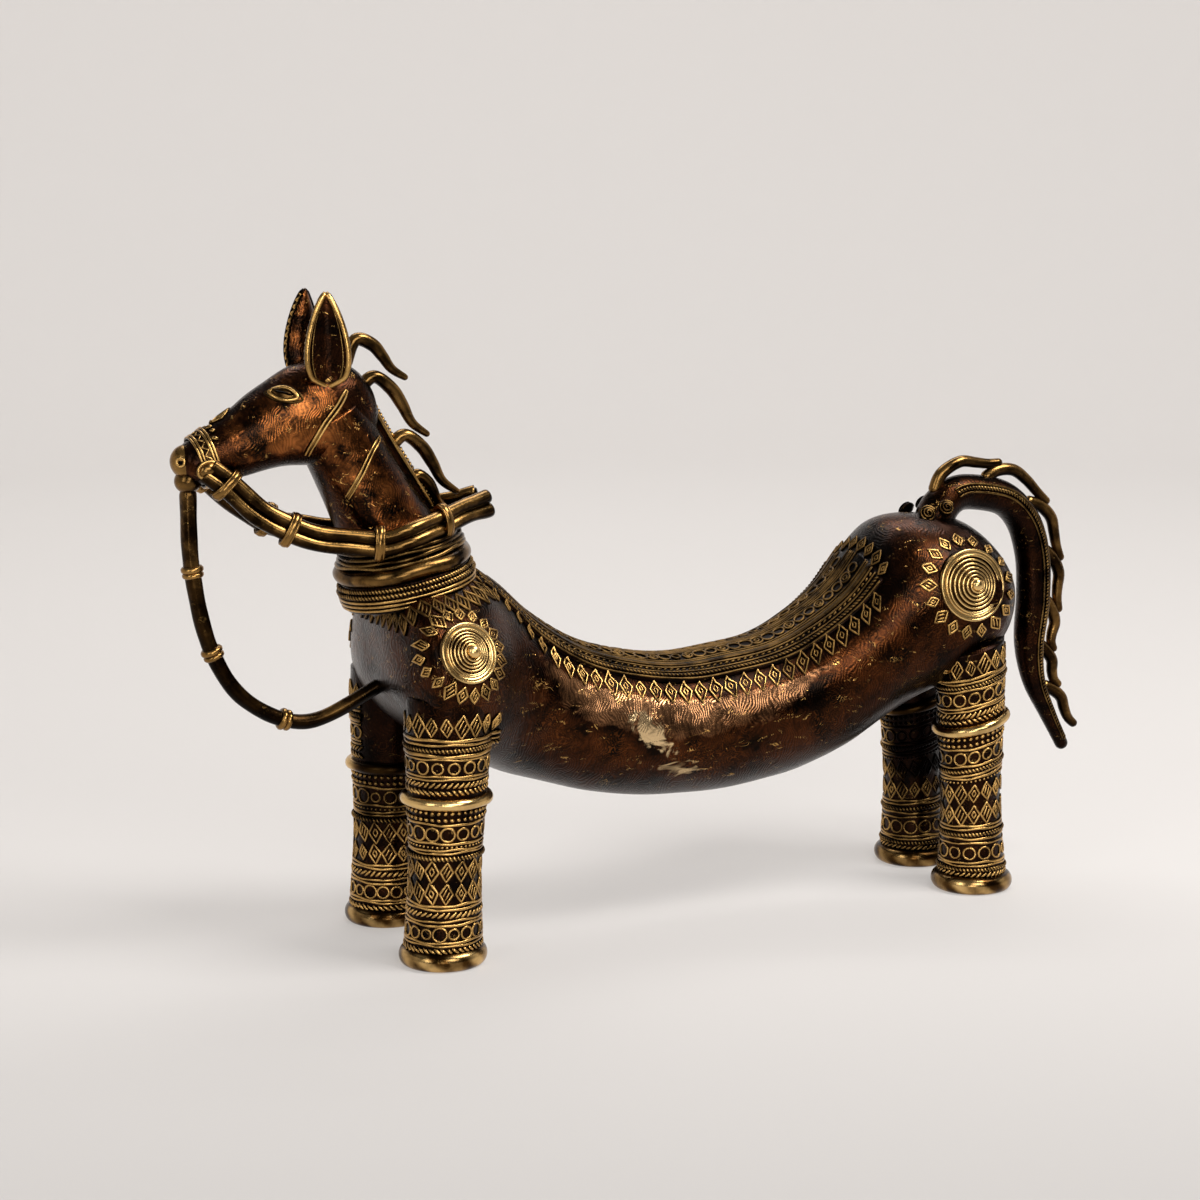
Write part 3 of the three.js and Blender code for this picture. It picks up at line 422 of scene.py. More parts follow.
# Patinated and waxed bronze: dark brown, with neutral sheen at the edges and copper where light falls square
patinaLook = {
    "deep": "#120904", "body": "#40210f", "shine": "#b46c36", "copper": "#9c5a29", "gold": "#d3a45c",
    "pale": "#e8c896", "dirtAndShade": "#060302", "patch": 9, "swirl": 6, "mottle": 0.3, "strokes": 0.3,
    "cracks": 0.36, "ridges": 0.32, "nicks": 0.9, "shineRange": (0.48, 1.05), "dirtAndShadeRange": (0.0, 0.35),
    "bump": 0.3, "rough": (0.16, 0.27), "matt": 0.12, "wax": 0.04,
    "wornSpots": [], "wornFrom": {"ragged": -0.65, "scratch": 0.33},
}
# The trunk's bronze, lighter on the flanks from wear and a painted highlight, with two spots worn to bare
# metal
bodyLook = dict(
    patinaLook, body="#4c2710", shine="#cc9466", shineRange=(0.5, 1.05), patch=12, mottle=0.2, cracks=0.42,
    ridges=0.5, wornSpots=[
        ((-0.0145, -0.0265, 0.0755), (0.017, 0.03, 0.0072), 0.75, "ragged"),
        ((-0.003, -0.0235, 0.0605), (0.034, 0.04, 0.014), 0.1, "scratch"),
    ],
)
# Thread rubbed by handling: brass on the crests, black dirt beside them
threadLook = dict(
    patinaLook, deep="#3a2610", body="#6b4a22", shine="#dcae66", copper="#8f6430", gold="#d6aa62",
    strokes=0.1, cracks=0.0, ridges=0.0, nicks=0.3, shineRange=(0.4, 1.1), dirtAndShadeRange=(0.4, 0.98), bump=0.2,
    rough=(0.2, 0.32), matt=0.1, wax=0.0,
)
# Plain rolled bars: brown satin brass, smoother than the threads, with dark stains, and painted shade on
# their undersides
satinLook = dict(
    threadLook, deep="#1c1208", body="#463017", shine="#9c7641", patch=12, shineRange=(0.35, 1.05),
    dirtAndShadeRange=(0.02, 0.4), rough=(0.17, 0.3), bump=0.12,
)
# Bosses, rings and foot rims, which a hand rubs first: pale brass
rubbedLook = dict(
    satinLook, deep="#503517", body="#966a33", shine="#e2bd7c", shineRange=(0.3, 1.0), dirtAndShadeRange=(0.1, 0.7),
    rough=(0.16, 0.27),
)
# Cloth of close dull threads, olive with dirt
clothLook = dict(
    threadLook, deep="#1c1309", body="#412e18", shine="#8f6d3c", gold="#b9945a", shineRange=(0.5, 1.2),
    dirtAndShadeRange=(0.25, 0.95), rough=(0.36, 0.52),
)
bodyBronze = bronze("patinatedWaxedCastBronze", bodyLook)
darkBronze = bronze("patinatedCastBronze", patinaLook)
threadBronze = bronze("rubbedThreadBronze", threadLook)
satinBronze = bronze("rolledSatinBronze", satinLook)
rubbedBronze = bronze("rubbedSatinBronze", rubbedLook)
clothBronze = bronze("dullThreadBronze", clothLook)

# Fired clay left in the casting: matt, buff, with sandy grain
firedClay, clayTree = blankMaterial("firedCoreClay")
clayPlace = addNode(clayTree, "ShaderNodeTexCoord").outputs["Object"]
settings = {"Scale": 1000 / 1.5, "Detail": 3.0}
clayGrit = addNode(clayTree, "ShaderNodeTexNoise", settings, {"Vector": clayPlace}).outputs["Fac"]
settings = {"data_type": "RGBA", 6: tone("#6f5140"), 7: tone("#9a7a60")}
clayColour = addNode(clayTree, "ShaderNodeMix", settings, {0: clayGrit}).outputs[2]
settings = {"Strength": 0.4, "Distance": 0.0005}
clayBump = addNode(clayTree, "ShaderNodeBump", settings, {"Height": clayGrit}).outputs[0]
links = {"Base Color": clayColour, "Normal": clayBump}
clayShader = addNode(clayTree, "ShaderNodeBsdfPrincipled", {"Roughness": 0.95}, links)
addNode(clayTree, "ShaderNodeOutputMaterial", None, {"Surface": clayShader.outputs[0]})
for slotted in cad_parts["clay_core"].material_slots:
    slotted.material = firedClay
print("materials ready")


# Puts forms into one mesh object that stands for the named solids
def makePiece(name, forms, finishes, slot, *nodes):
    counts = np.cumsum([0] + [len(form[0]) for form in forms])
    points = np.concatenate([form[0] for form in forms]) * 0.001
    groups = [(faces + start, form[3]) for form, start in zip(forms, counts) for faces in form[1]]
    corners = np.concatenate([faces.ravel() for faces, _ in groups])
    sizes = np.concatenate([np.full(len(faces), faces.shape[1]) for faces, _ in groups])
    coats = np.concatenate([np.full(len(faces), coat) for faces, coat in groups])
    mesh = bpy.data.meshes.new(name)
    mesh.vertices.add(len(points))
    mesh.vertices.foreach_set("co", points.astype(np.float32).ravel())
    mesh.loops.add(len(corners))
    mesh.loops.foreach_set("vertex_index", corners.astype(np.int32))
    mesh.polygons.add(len(sizes))
    mesh.polygons.foreach_set("loop_start", np.concatenate([[0], np.cumsum(sizes)[:-1]]).astype(np.int32))
    mesh.polygons.foreach_set("material_index", coats.astype(np.int32))
    mesh.polygons.foreach_set("use_smooth", np.ones(len(sizes), bool))
    mesh.update(calc_edges=True)
    rub = mesh.attributes.new("rub", "FLOAT", "POINT")
    rub.data.foreach_set("value", np.concatenate([form[2] for form in forms]).astype(np.float32))
    for finish in finishes:
        mesh.materials.append(finish)
    piece = bpy.data.objects.new(name, mesh)
    scene.collection.objects.link(piece)
    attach(piece, "root")
    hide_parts(*nodes)


# Trunk: sections along the body, in barrel half widths from the hip line

trunk = {
    "frontLegX": -95.5, "legSpan": 221.0, "hipLine": 88.0, "barrelHalf": 27.0,
    "chestReach": 17.5, "chestRound": 12.0, "rumpReach": 22.5, "rumpRound": 20.0,
    # share of the leg span, back, widest level, underside, half width, narrowing above and below that level
    "sections": [
        [-0.0792, 1.852, 0.63, 0.074, 1.667, 1.05, 0.7], [0, 1.926, 0.556, -0.407, 1.722, 1.25, 0.62],
        [0.07, 1.907, 0.37, -0.704, 1.519, 1.2, 0.72], [0.13, 1.6, 0.148, -0.963, 1.167, 1.1, 0.9],
        [0.19, 1.15, 0, -1.148, 1.037, 1, 1], [0.28, 0.7, -0.296, -1.37, 1, 1, 1],
        [0.38, 0.463, -0.481, -1.519, 1, 1, 1], [0.46, 0.389, -0.556, -1.567, 1, 1, 1],
        [0.54, 0.444, -0.537, -1.578, 1, 1, 1], [0.625, 0.548, -0.426, -1.489, 1.019, 1, 1],
        [0.695, 0.793, -0.241, -1.378, 1.056, 1, 1], [0.775, 1.25, 0.148, -1.126, 1.13, 1, 0.95],
        [0.875, 2.15, 0.704, -0.63, 1.259, 1, 0.85], [1, 2.13, 1.037, -0.148, 1.352, 1.05, 0.7],
        [1.1018, 1.741, 1.11, 0.185, 1.26, 1.05, 0.75],
    ],
}
hipLine = trunk["hipLine"]
frontLegX = trunk["frontLegX"]
rearLegX = frontLegX + trunk["legSpan"]


# 0 at an end of the body, 1 beyond a length from it, on a rounded quarter
def roundOff(depth, length):
    return (1 - (1 - np.clip(depth / length, 0, 1)) ** 2.4) ** (1 / 2.4)


# The sections on a spline along the body, each drawn in toward the rounded chest and rump
def trunkTable():
    share = np.linspace(0, 1, 1600)
    at, top, wide, under, half, above, below = rowSpline(trunk["sections"], share).T
    x = frontLegX + at * trunk["legSpan"]
    fill = roundOff(x - (frontLegX - trunk["chestReach"]), trunk["chestRound"])
    fill = fill * roundOff(rearLegX + trunk["rumpReach"] - x, trunk["rumpRound"])
    scale = trunk["barrelHalf"]
    level = hipLine + scale * wide
    rise, drop, half = scale * fill * np.stack([top - wide, wide - under, half])
    return share, x, level, rise, drop, half, above, below


trunkShare, *trunkLines = trunkTable()


# A point of the trunk: share of its length, angle round it from +Y over the back, and a lift off the metal
def trunkSkin(share, angle, lift=0.0):
    x, level, rise, drop, half, above, below = (np.interp(share, trunkShare, line) for line in trunkLines)
    c, s = np.cos(angle), np.sin(angle)
    y = (half + lift) * np.sign(c) * np.abs(c) ** np.where(s > 0, above, below)
    z = level + s * (np.where(s > 0, rise, drop) + lift)
    return np.stack(np.broadcast_arrays(x, y, z), -1)


# Less than 1 inside the trunk: the sum of squares that makes its sections
def trunkDepth(p):
    section = [np.interp(p[..., 0], trunkLines[0], line) for line in trunkLines[1:]]
    level, rise, drop, half, above, below = section
    s = (p[..., 2] - level) / np.maximum(np.where(p[..., 2] > level, rise, drop), 1e-3)
    c = (np.abs(p[..., 1]) / np.maximum(half, 1e-3)) ** (1 / np.where(s > 0, above, below))
    outside = (p[..., 0] < trunkLines[0][0]) | (p[..., 0] > trunkLines[0][-1])
    return np.where(outside, 9.0, c * c + s * s)


# How far a ray from inside the trunk goes before it leaves the metal, by halving
def trunkReach(start, way, reach):
    low = np.zeros(np.broadcast_shapes(start.shape, way.shape)[:-1])
    high = low + reach
    for _ in range(26):
        middle = (low + high) / 2
        inside = trunkDepth(start + middle[..., None] * way) < 1
        low, high = np.where(inside, middle, low), np.where(inside, high, middle)
    return low


shares = (1 - np.cos(np.pi * np.linspace(0.012, 0.988, 300))) / 2
angles = turns(180)
halfAngles = angles[None, ::2]
trunkGrid = handWorked(trunkSkin(shares[:, None], angles[None]), 0.35, 46)
# Lighter on the upper flanks between the legs, partly wear and partly a painted highlight; darkest
# underneath, a painted shade
upward = np.sin(angles)
flank = ease(upward, -0.42, 0.42) * (1 - 0.5 * ease(upward, 0.6, 0.9))
middle = ease(shares, 0.22, 0.36) * (1 - 0.42 * ease(shares, 0.46, 0.6)) * (1 - ease(shares, 0.64, 0.8))
lower = ease(upward, -0.95, -0.4) * (1 - ease(upward, 0.0, 0.4))
trunkWearAndShading = 0.1 + 0.16 * ease(upward, -0.9, 0.1) + middle[:, None] * (0.8 * flank ** 2 + 0.12 * lower)
# Painted shade behind the cloth and its fringe, which ends 59 degrees from the back, less toward the front
hem = np.cos(np.radians(59 * mix(0.6, 1.0, ease(shares, 0.165, 0.33))))[:, None]
covered = ease(shares, 0.15, 0.19) * (1 - ease(shares, 0.83, 0.86))
trunkWearAndShading = trunkWearAndShading * (1 - 0.88 * covered[:, None] * ease(upward, hem - 0.05, hem + 0.05))
makePiece("bodyShell", [gridForm(trunkGrid, trunkWearAndShading)], [bodyBronze], "dark_bronze", "trunk")
print("trunk laid")


# Neck and head

neck = {"base": (-100.2, 0.0, 140.0), "lean": 27.5, "length": 63.5, "baseRadius": 19.0, "topRadius": 14.0}
neckLean = np.radians(neck["lean"])
neckBase = np.array(neck["base"])
neckWay = np.array([-np.sin(neckLean), 0, np.cos(neckLean)])
neckBack = np.array([np.cos(neckLean), 0, np.sin(neckLean)])
poll = neckBase + neck["length"] * neckWay


# The neck flares to its base by the power 1.8 of the way down
def neckRadius(distance):
    rise = np.clip(distance / neck["length"], 0, 1)
    return mix(neck["topRadius"], neck["baseRadius"], (1 - rise) ** 1.8)


# A point of the neck: angle anticlockwise about it from its back, distance up it
def neckSkin(angle, distance):
    angle, distance = np.broadcast_arrays(angle, distance)
    out = circle(angle, neckBack, lateral)
    return neckBase + distance[..., None] * neckWay + neckRadius(distance)[..., None] * out


neckRise = np.linspace(-15, neck["length"], 90)[:, None]
neckGrid = handWorked(neckSkin(halfAngles, neckRise), 0.25, 26)
# Lighter on the sides and darker at the front, back and next to the collar: partly wear, partly painted
# highlight and painted shade
neckWearAndShading = 0.16 + 0.48 * np.sin(halfAngles) ** 2 * ease(neckRise, 4, 20)
makePiece("neckTube", [gridForm(neckGrid, neckWearAndShading)], [darkBronze], "dark_bronze", "neck")

head = {
    "pitch": 17.4, "nose": (52.6, 1.2), "lip": (54.2, -5.2), "diamond": 36.4,
    # half heights, widths and lengths of the two bulbs
    "noseSize": (6.1, 5.9, 5.9), "lipSize": (4.5, 5.0, 5.0),
    # pellets behind the noseband: distance along the head, degrees about it, size
    "pellets": [
        (42.4, 222, 1), (41.6, 240, 0.8), (42.2, 258, 1.1), (39.8, 270, 1), (42.6, 300, 0.9), (41.0, 318, 1),
    ],
    # distance along the head, height over and under its axis, half width
    "sections": [
        [-18, 6, 8, 5], [-14, 12.8, 14, 9], [-5, 18.3, 17, 12.5], [6, 20.3, 16.5, 14], [20, 17.5, 12.3, 13],
        [34.5, 12.6, 10.6, 10.6], [45.5, 9.1, 9.4, 8.8], [52.5, 7, 7.4, 7.2], [55.5, 4, 4.4, 4.4],
    ],
}
headPitch = np.radians(head["pitch"])
headWay = np.array([-np.cos(headPitch), 0, -np.sin(headPitch)])
headUp = np.array([-np.sin(headPitch), 0, np.cos(headPitch)])
headAt, headOver, headUnder, headHalf = rowSpline(head["sections"], np.linspace(0, 1, 900)).T


# From the poll: along the head, over its axis and across it
def headPoint(along, over, across=0.0):
    along, over, across = (np.asarray(v, float)[..., None] for v in np.broadcast_arrays(along, over, across))
    return poll + along * headWay + over * headUp + across * lateral


# A point of the head: angle anticlockwise about the way it looks, distance along it
def headSkin(angle, along, lift=0.0):
    up, under, half = (np.interp(along, headAt, line) + lift for line in (headOver, headUnder, headHalf))
    s = np.sin(angle)
    return headPoint(along, -s * np.where(s > 0, under, up), half * np.cos(angle))


# The angle at which the head's side stands at a height over its axis
def headAngle(along, over, side):
    up, under = np.interp(along, headAt, headOver), np.interp(along, headAt, headUnder)
    lean = np.arcsin(np.clip(-over / np.where(over > 0, up, under), -1, 1))
    return lean if side > 0 else np.pi - lean


headAlong = np.concatenate([[-17.9, -17.6], np.linspace(-17, 55.4, 120)])[:, None]
headGrid = headSkin(halfAngles, headAlong)
# Lighter on the cheeks, partly wear and partly a painted highlight; darker underneath, a painted shade
cheeks = np.abs(np.cos(halfAngles)) * ease(headAlong, -8, 4) * (1 - ease(headAlong, 30, 46))
headWearAndShading = 0.28 + 0.4 * cheeks ** 2 - 0.22 * ease(np.sin(halfAngles), 0.2, 0.9)
nostrils = []
noseAt, lipAt = headPoint(*head["nose"]), headPoint(*head["lip"])
headAxes = np.stack([headUp, lateral, headWay], -1)
for side in (-1, 1):
    out = unit(0.55 * headWay + 0.25 * headUp + side * 0.8 * lateral)
    tilt = unit(np.cross(out, headUp))
    across = np.cross(out, tilt)
    rim = noseAt + 5.65 * out + 1.5 * circle(turns(16), tilt, across)
    # The dark flat ball inside each rim is painted shade standing for the nostril's hole
    nostrils += [cord(rim, out, 0.55, 6, True),
                 ballForm(noseAt + 5.45 * out, (1.35 * tilt, 1.35 * across, 0.5 * out), 10, 14, 0.0)]
headForms = [
    gridForm(handWorked(headGrid, 0.2, 24), headWearAndShading),
    ballForm(noseAt, (headAxes * head["noseSize"]).T, rub=0.75, coat=2),
    ballForm(lipAt, (headAxes * head["lipSize"]).T, rub=0.5, coat=2),
    *nostrils,
]
# Raised pellets and a diamond on the bridge of the nose, behind the noseband
pelletAlong, pelletDegrees, pelletSize = np.array(head["pellets"]).T
pellets = handPlaces(np.radians(pelletDegrees), pelletAlong, size=pelletSize, stray=0.2)
headForms.append(motifs(headSkin, pellets, slantStroke(1.6, 2.2), 0.95, 7, rub=0.8))
headForms += diamondForms(headSkin, handPlaces([1.5 * np.pi], head["diamond"]), 4.6, 8.5, 0.6)
makePiece("headCast", headForms, [darkBronze, threadBronze, satinBronze], "dark_bronze", "head")

# Noseband: a raised strap with doubled borders and a zigzag between them
noseband = {"at": 46.8, "width": 6.0, "lift": 1.2, "border": 0.55}
strapRise = noseband["lift"] * (1 - np.abs(np.linspace(-1, 1, 9)) ** 4) - 0.4
strapAt = noseband["at"] + noseband["width"] / 2 * np.linspace(-1, 1, 9)
strapGrid = headSkin(angles[None, ::3], strapAt[:, None], strapRise[:, None])


# The head's own surface lifted by the strap
def nosebandSkin(angle, along):
    return headSkin(angle, along, noseband["lift"] - 0.4)


full = turns(96)
zigzag = noseband["at"] + 0.9 * (np.abs((np.arange(144) / 4 + 0.5) % 2 - 1) * 2 - 1)
nosebandForms = [gridForm(strapGrid, 0.35)]
for shift in (-2.7, -1.6, 1.6, 2.7):
    nosebandForms.append(thread(nosebandSkin, full, noseband["at"] + shift, noseband["border"], closed=True))
nosebandForms.append(thread(nosebandSkin, turns(144), zigzag, 0.4, closed=True, sides=5))
makePiece("nosebandStrap", nosebandForms, [satinBronze, threadBronze], "bright_bronze", "noseband")
print("neck and head laid")

# Ears: cupped leaves with a rolled double rim and a twisted trim on the front edge; eyes below them

ear = {
    "seat": (-1.22, 10.5, 10.2), "height": 33.0, "width": 12.6, "wall": 1.6,
    "turn": 75.0, "splay": 4.0, "rake": 2.0,
}
eye = {"along": 14.8, "over": 13.6, "lean": 0.72, "size": 1.16}


# Points turned about one of the axes
def spun(points, axis, degrees):
    c, s = np.cos(np.radians(degrees)), np.sin(np.radians(degrees))
    a, b = {0: (1, 2), 1: (2, 0), 2: (0, 1)}[axis]
    turned = points.copy()
    turned[..., a] = c * points[..., a] - s * points[..., b]
    turned[..., b] = s * points[..., a] + c * points[..., b]
    return turned


# Half the leaf's width: a sine leaned toward the base, closed in a point at the tip and a round at the base
def earHalf(share):
    leaf = 0.5 * np.sin(np.pi * share ** 0.62) ** 0.8 + 0.07 * (1 - share ** 8)
    return ear["width"] * leaf * np.sqrt(np.clip(share / 0.1, 0, 1))


# A point of the ear's leaf, across from -1 to 1, dropped behind the hollow by depth
def earPoint(side, share, across, depth=0.0):
    share, across = np.broadcast_arrays(share, across)
    half = earHalf(share)
    leaf = np.stack([half * across, 0.5 * half * across ** 2 - depth, ear["height"] * share], -1)
    leaf = spun(spun(spun(leaf, 2, 90 - side * ear["turn"]), 0, -ear["splay"] * side), 1, -ear["rake"])
    along, over, across = ear["seat"]
    return headPoint(along, over, side * across) + leaf


for side, name in sideNames.items():
    share = (0.004 + 0.992 * np.linspace(0, 1, 52) ** 1.25)[:, None]
    across = np.linspace(1, -1, 17)[None]
    hollow, back = earPoint(side, share, 0.93 * across), earPoint(side, share, -across, ear["wall"])
    # The hollow is darker than the back, a painted shade
    earForms = [gridForm(np.concatenate([hollow, back], 1), np.where(np.arange(34) < 17, 0.3, 0.55))]
    rimShare = 0.002 + 0.996 * np.linspace(0, 1, 44) ** 1.4
    for edge in (-1, 1):
        rim = earPoint(side, rimShare, edge, 0.6)
        facing = unit(earPoint(side, rimShare, edge, -1.0) - rim)
        earForms.append(cord(rim, facing, 1.1 * np.append(np.ones(43), 0.7), 8))
        inner = earPoint(side, mix(0.06, 0.93, rimShare), 0.74 * edge, -0.15)
        earForms.append(cord(inner, facing, 0.4, 5, rub=0.8))
    trimShare = np.linspace(0.05, 0.95, 200)
    trim = earPoint(side, trimShare, -side * 1.02, 1.3)
    trimNormal = unit(earPoint(side, trimShare, -side * 1.5, 1.3) - trim)
    twist = 2 * np.pi * pathLength(trim) / 2.6
    plies = 0.85 * (1 + 0.3 * np.cos(2 * turns(8) - twist[:, None]))
    earForms.append(cord(trim, trimNormal, plies[None], 8, rub=1.5))
    makePiece("ear" + name, earForms, [darkBronze, threadBronze], "dark_bronze", "ear_" + name.lower())

    # Eye: an almond with a thick rim and a slit, leaning down toward the nose
    eyeAngle = headAngle(eye["along"], eye["over"], side)
    a = turns(28)
    almond = np.stack([1.9 * np.sin(a) * (1 - 0.35 * np.cos(a) ** 2), 4.6 * np.cos(a)], -1)[None]
    slit = np.stack([np.zeros(8), np.linspace(-3, 3, 8)], -1)[None]
    eyePlace = np.array([[eyeAngle, eye["along"], side * eye["lean"], eye["size"]]])
    eyeCentre, eyeNormal = onSkin(headSkin, np.array(eyeAngle), np.array(eye["along"]))
    eyeUp = unit(headUp - (headUp @ eyeNormal) * eyeNormal)
    eyeLong = unit(circle(eye["lean"], headWay, eyeUp))
    eyeAxes = (4.2 * eyeLong, 2.0 * unit(np.cross(eyeLong, eyeNormal)), 1.1 * eyeNormal)
    eyeForms = [
        ballForm(eyeCentre, eyeAxes, rub=0.4),
        motifs(headSkin, eyePlace, almond, 0.75, 7, True, 0.5),
        motifs(headSkin, eyePlace, 1.32 * almond, 0.45, 6, True, 0.3, rub=0.55),
        motifs(headSkin, eyePlace, slit, 0.35, 5, lift=3.2, rub=0.1),
    ]
    makePiece("eye" + name, eyeForms, [satinBronze, threadBronze], "bright_bronze", "eye_" + name.lower())
print("ears and eyes laid")


# Straps: a flat strip between two raised lines, on the cheek and on the neck


# A flat strip along a route on the skin, with a thread along each edge
def strapForms(skin, u, v, spread):
    point, normal = onSkin(skin, u, v)
    aside = unit(np.cross(normal, np.gradient(point, axis=0)))
    width = spread * np.minimum(np.linspace(0.35, 6, len(point)), 1)[:, None]
    strip = cord(point + 0.1 * normal, normal, 1.1 * width[:, 0], 10, flat=0.4, rub=0.6, coat=0)
    lines = [cord(point + shift * width * aside + 0.4 * normal, normal, 0.42, 6) for shift in (-1, 1)]
    return [strip, *lines]


# Routes: along and over the head's axis on the cheek, distance up and degrees from the back on the neck
straps = {
    "cheek": [[-6.8, 7.3], [-1.8, 3.6], [5, -0.5], [11.5, -6.3], [13.7, -9.2]],
    "neck": [[48.6, 40], [46.5, 70], [41.5, 100], [36.2, 130]],
}
for side, name in sideNames.items():
    along, over = rowSpline(straps["cheek"], np.linspace(0, 1, 60)).T
    cheek = strapForms(headSkin, headAngle(along, over, side), along, 0.75)
    makePiece("cheekStrap" + name, cheek, [satinBronze, threadBronze], "bright_bronze",
              "cheek_strap_" + name.lower())
    rise, degrees = rowSpline(straps["neck"], np.linspace(0, 1, 60)).T
    band = strapForms(neckSkin, side * np.radians(degrees), rise, 0.7)
    makePiece("neckStrap" + name, band, [satinBronze, threadBronze], "bright_bronze",
              "neck_strap_" + name.lower())
print("straps laid")

# Mane: a strip with two border lines and a twisted cord, and hooked locks

crest = {"from": 14.0, "to": 68.0, "width": 7.0, "height": 2.6}


# A point of the neck at an angle from its back, standing off it
def neckPoint(distance, degrees, side, stand):
    angle = side * np.radians(degrees)
    return neckSkin(angle, distance) + stand * circle(angle, neckBack, lateral)


# The crest's top: across from the middle, distance up the neck; it narrows to a point at its lower end
def crestSkin(across, distance):
    across, distance = np.broadcast_arrays(across, distance)
    width = crest["width"] / 2 * np.sqrt(np.clip((distance - crest["from"] + 1) / 16, 0, 1))
    swell = crest["height"] * (1 - 0.55 * across ** 2)
    back = (neckRadius(distance) + swell)[..., None] * neckBack
    return neckBase + distance[..., None] * neckWay + back + (width * across)[..., None] * lateral


crestAt = np.linspace(crest["from"], crest["to"], 70)[:, None]
over = crestSkin(np.linspace(-1, 1, 15)[None], crestAt)
beneath = crestSkin(np.linspace(1, -1, 15)[None], crestAt) - 4.0 * neckBack
crestLine = np.linspace(crest["from"] + 0.5, crest["to"] - 0.5, 90)
crestForms = [gridForm(np.concatenate([over, beneath], 1), 0.25)]
for edge in (-0.82, 0.82):
    crestForms.append(thread(crestSkin, edge, crestLine, 0.85, rub=1.3))
ropeLine = np.linspace(crest["from"] + 1, crest["to"] - 1, 200)
crestForms.append(thread(crestSkin, 0.0, ropeLine, 1.15, lay=3.2, rub=1.2))
knobAt = neckPoint(69.5, 0, 1, 2.2)
crestForms.append(ballForm(knobAt, (1.9 * neckBack, 1.9 * lateral, 1.9 * neckWay), 12, 16, 0.9, 1))
makePiece("maneCrest", crestForms, [darkBronze, threadBronze], "dark_bronze", "mane_crest")

locks = {
    "radius": 2.5, "across": [0, 0.2, 0.45, 0.61, 0.75, 1], "rise": [0, 1, 1, 0.8, 0.6, 0.4],
    "droop": [0, 0.02, -0.18, -0.43, -0.7, -0.9],
    # root, rise, droop and reach of each lock
    "roots": [
        (headPoint(-11.66, 13.2), 0.4, 0.4, 23.9), (neckPoint(65.4, 0, 1, 1.75), 0.12, 0.84, 26.0),
        (neckPoint(41.3, 0, 1, 1.1), 0.12, 0.84, 26.0), (neckPoint(26.0, 0, 1, 0.0), 0.15, 0.9, 14.3),
    ],
}
for number, (root, rise, droop, reach) in enumerate(locks["roots"], 1):
    height = rise * np.array(locks["rise"]) + droop * np.array(locks["droop"])
    hook = np.stack([locks["across"], np.zeros(6), height], -1) * reach + root
    lockForm = barForm(
        smoothPath(hook), lambda share: locks["radius"] * (1 - 0.55 * share ** 3), 60, 20,
        lambda share, turn: 1 + 0.05 * np.sin(9 * share + 2 * turn), (0.3, 0.85))
    makePiece(f"maneLock{number}", [lockForm], [satinBronze], "bright_bronze", f"mane_lock_{number}")
print("mane laid")

# Bits, reins with their keepers, and the lead bar

reins = {
    "bit": (48.8, -2.0), "tube": 2.45, "stand": 4.35, "sag": 8.5, "tail": 18.0,
    "keepers": [0.07, 0.3, 0.57, 0.8],
}


# From the bit down a sag, round the neck and out behind it
def reinPath(side):
    bit = headSkin(headAngle(*reins["bit"], side), reins["bit"][0]) + side * 2.6 * lateral
    front = neckPoint(18.4, 118, side, reins["stand"])
    hang = mix(bit, front, 0.46) - np.array([0, 0, reins["sag"]])
    end = neckBase + 5.78 * neckWay + (neck["baseRadius"] + reins["tail"]) * neckBack + side * 5.5 * lateral
    beside, behind = neckPoint(15.0, 87, side, reins["stand"]), neckPoint(12.1, 50, side, reins["stand"])
    return smoothPath([bit, hang, front, beside, behind, end])


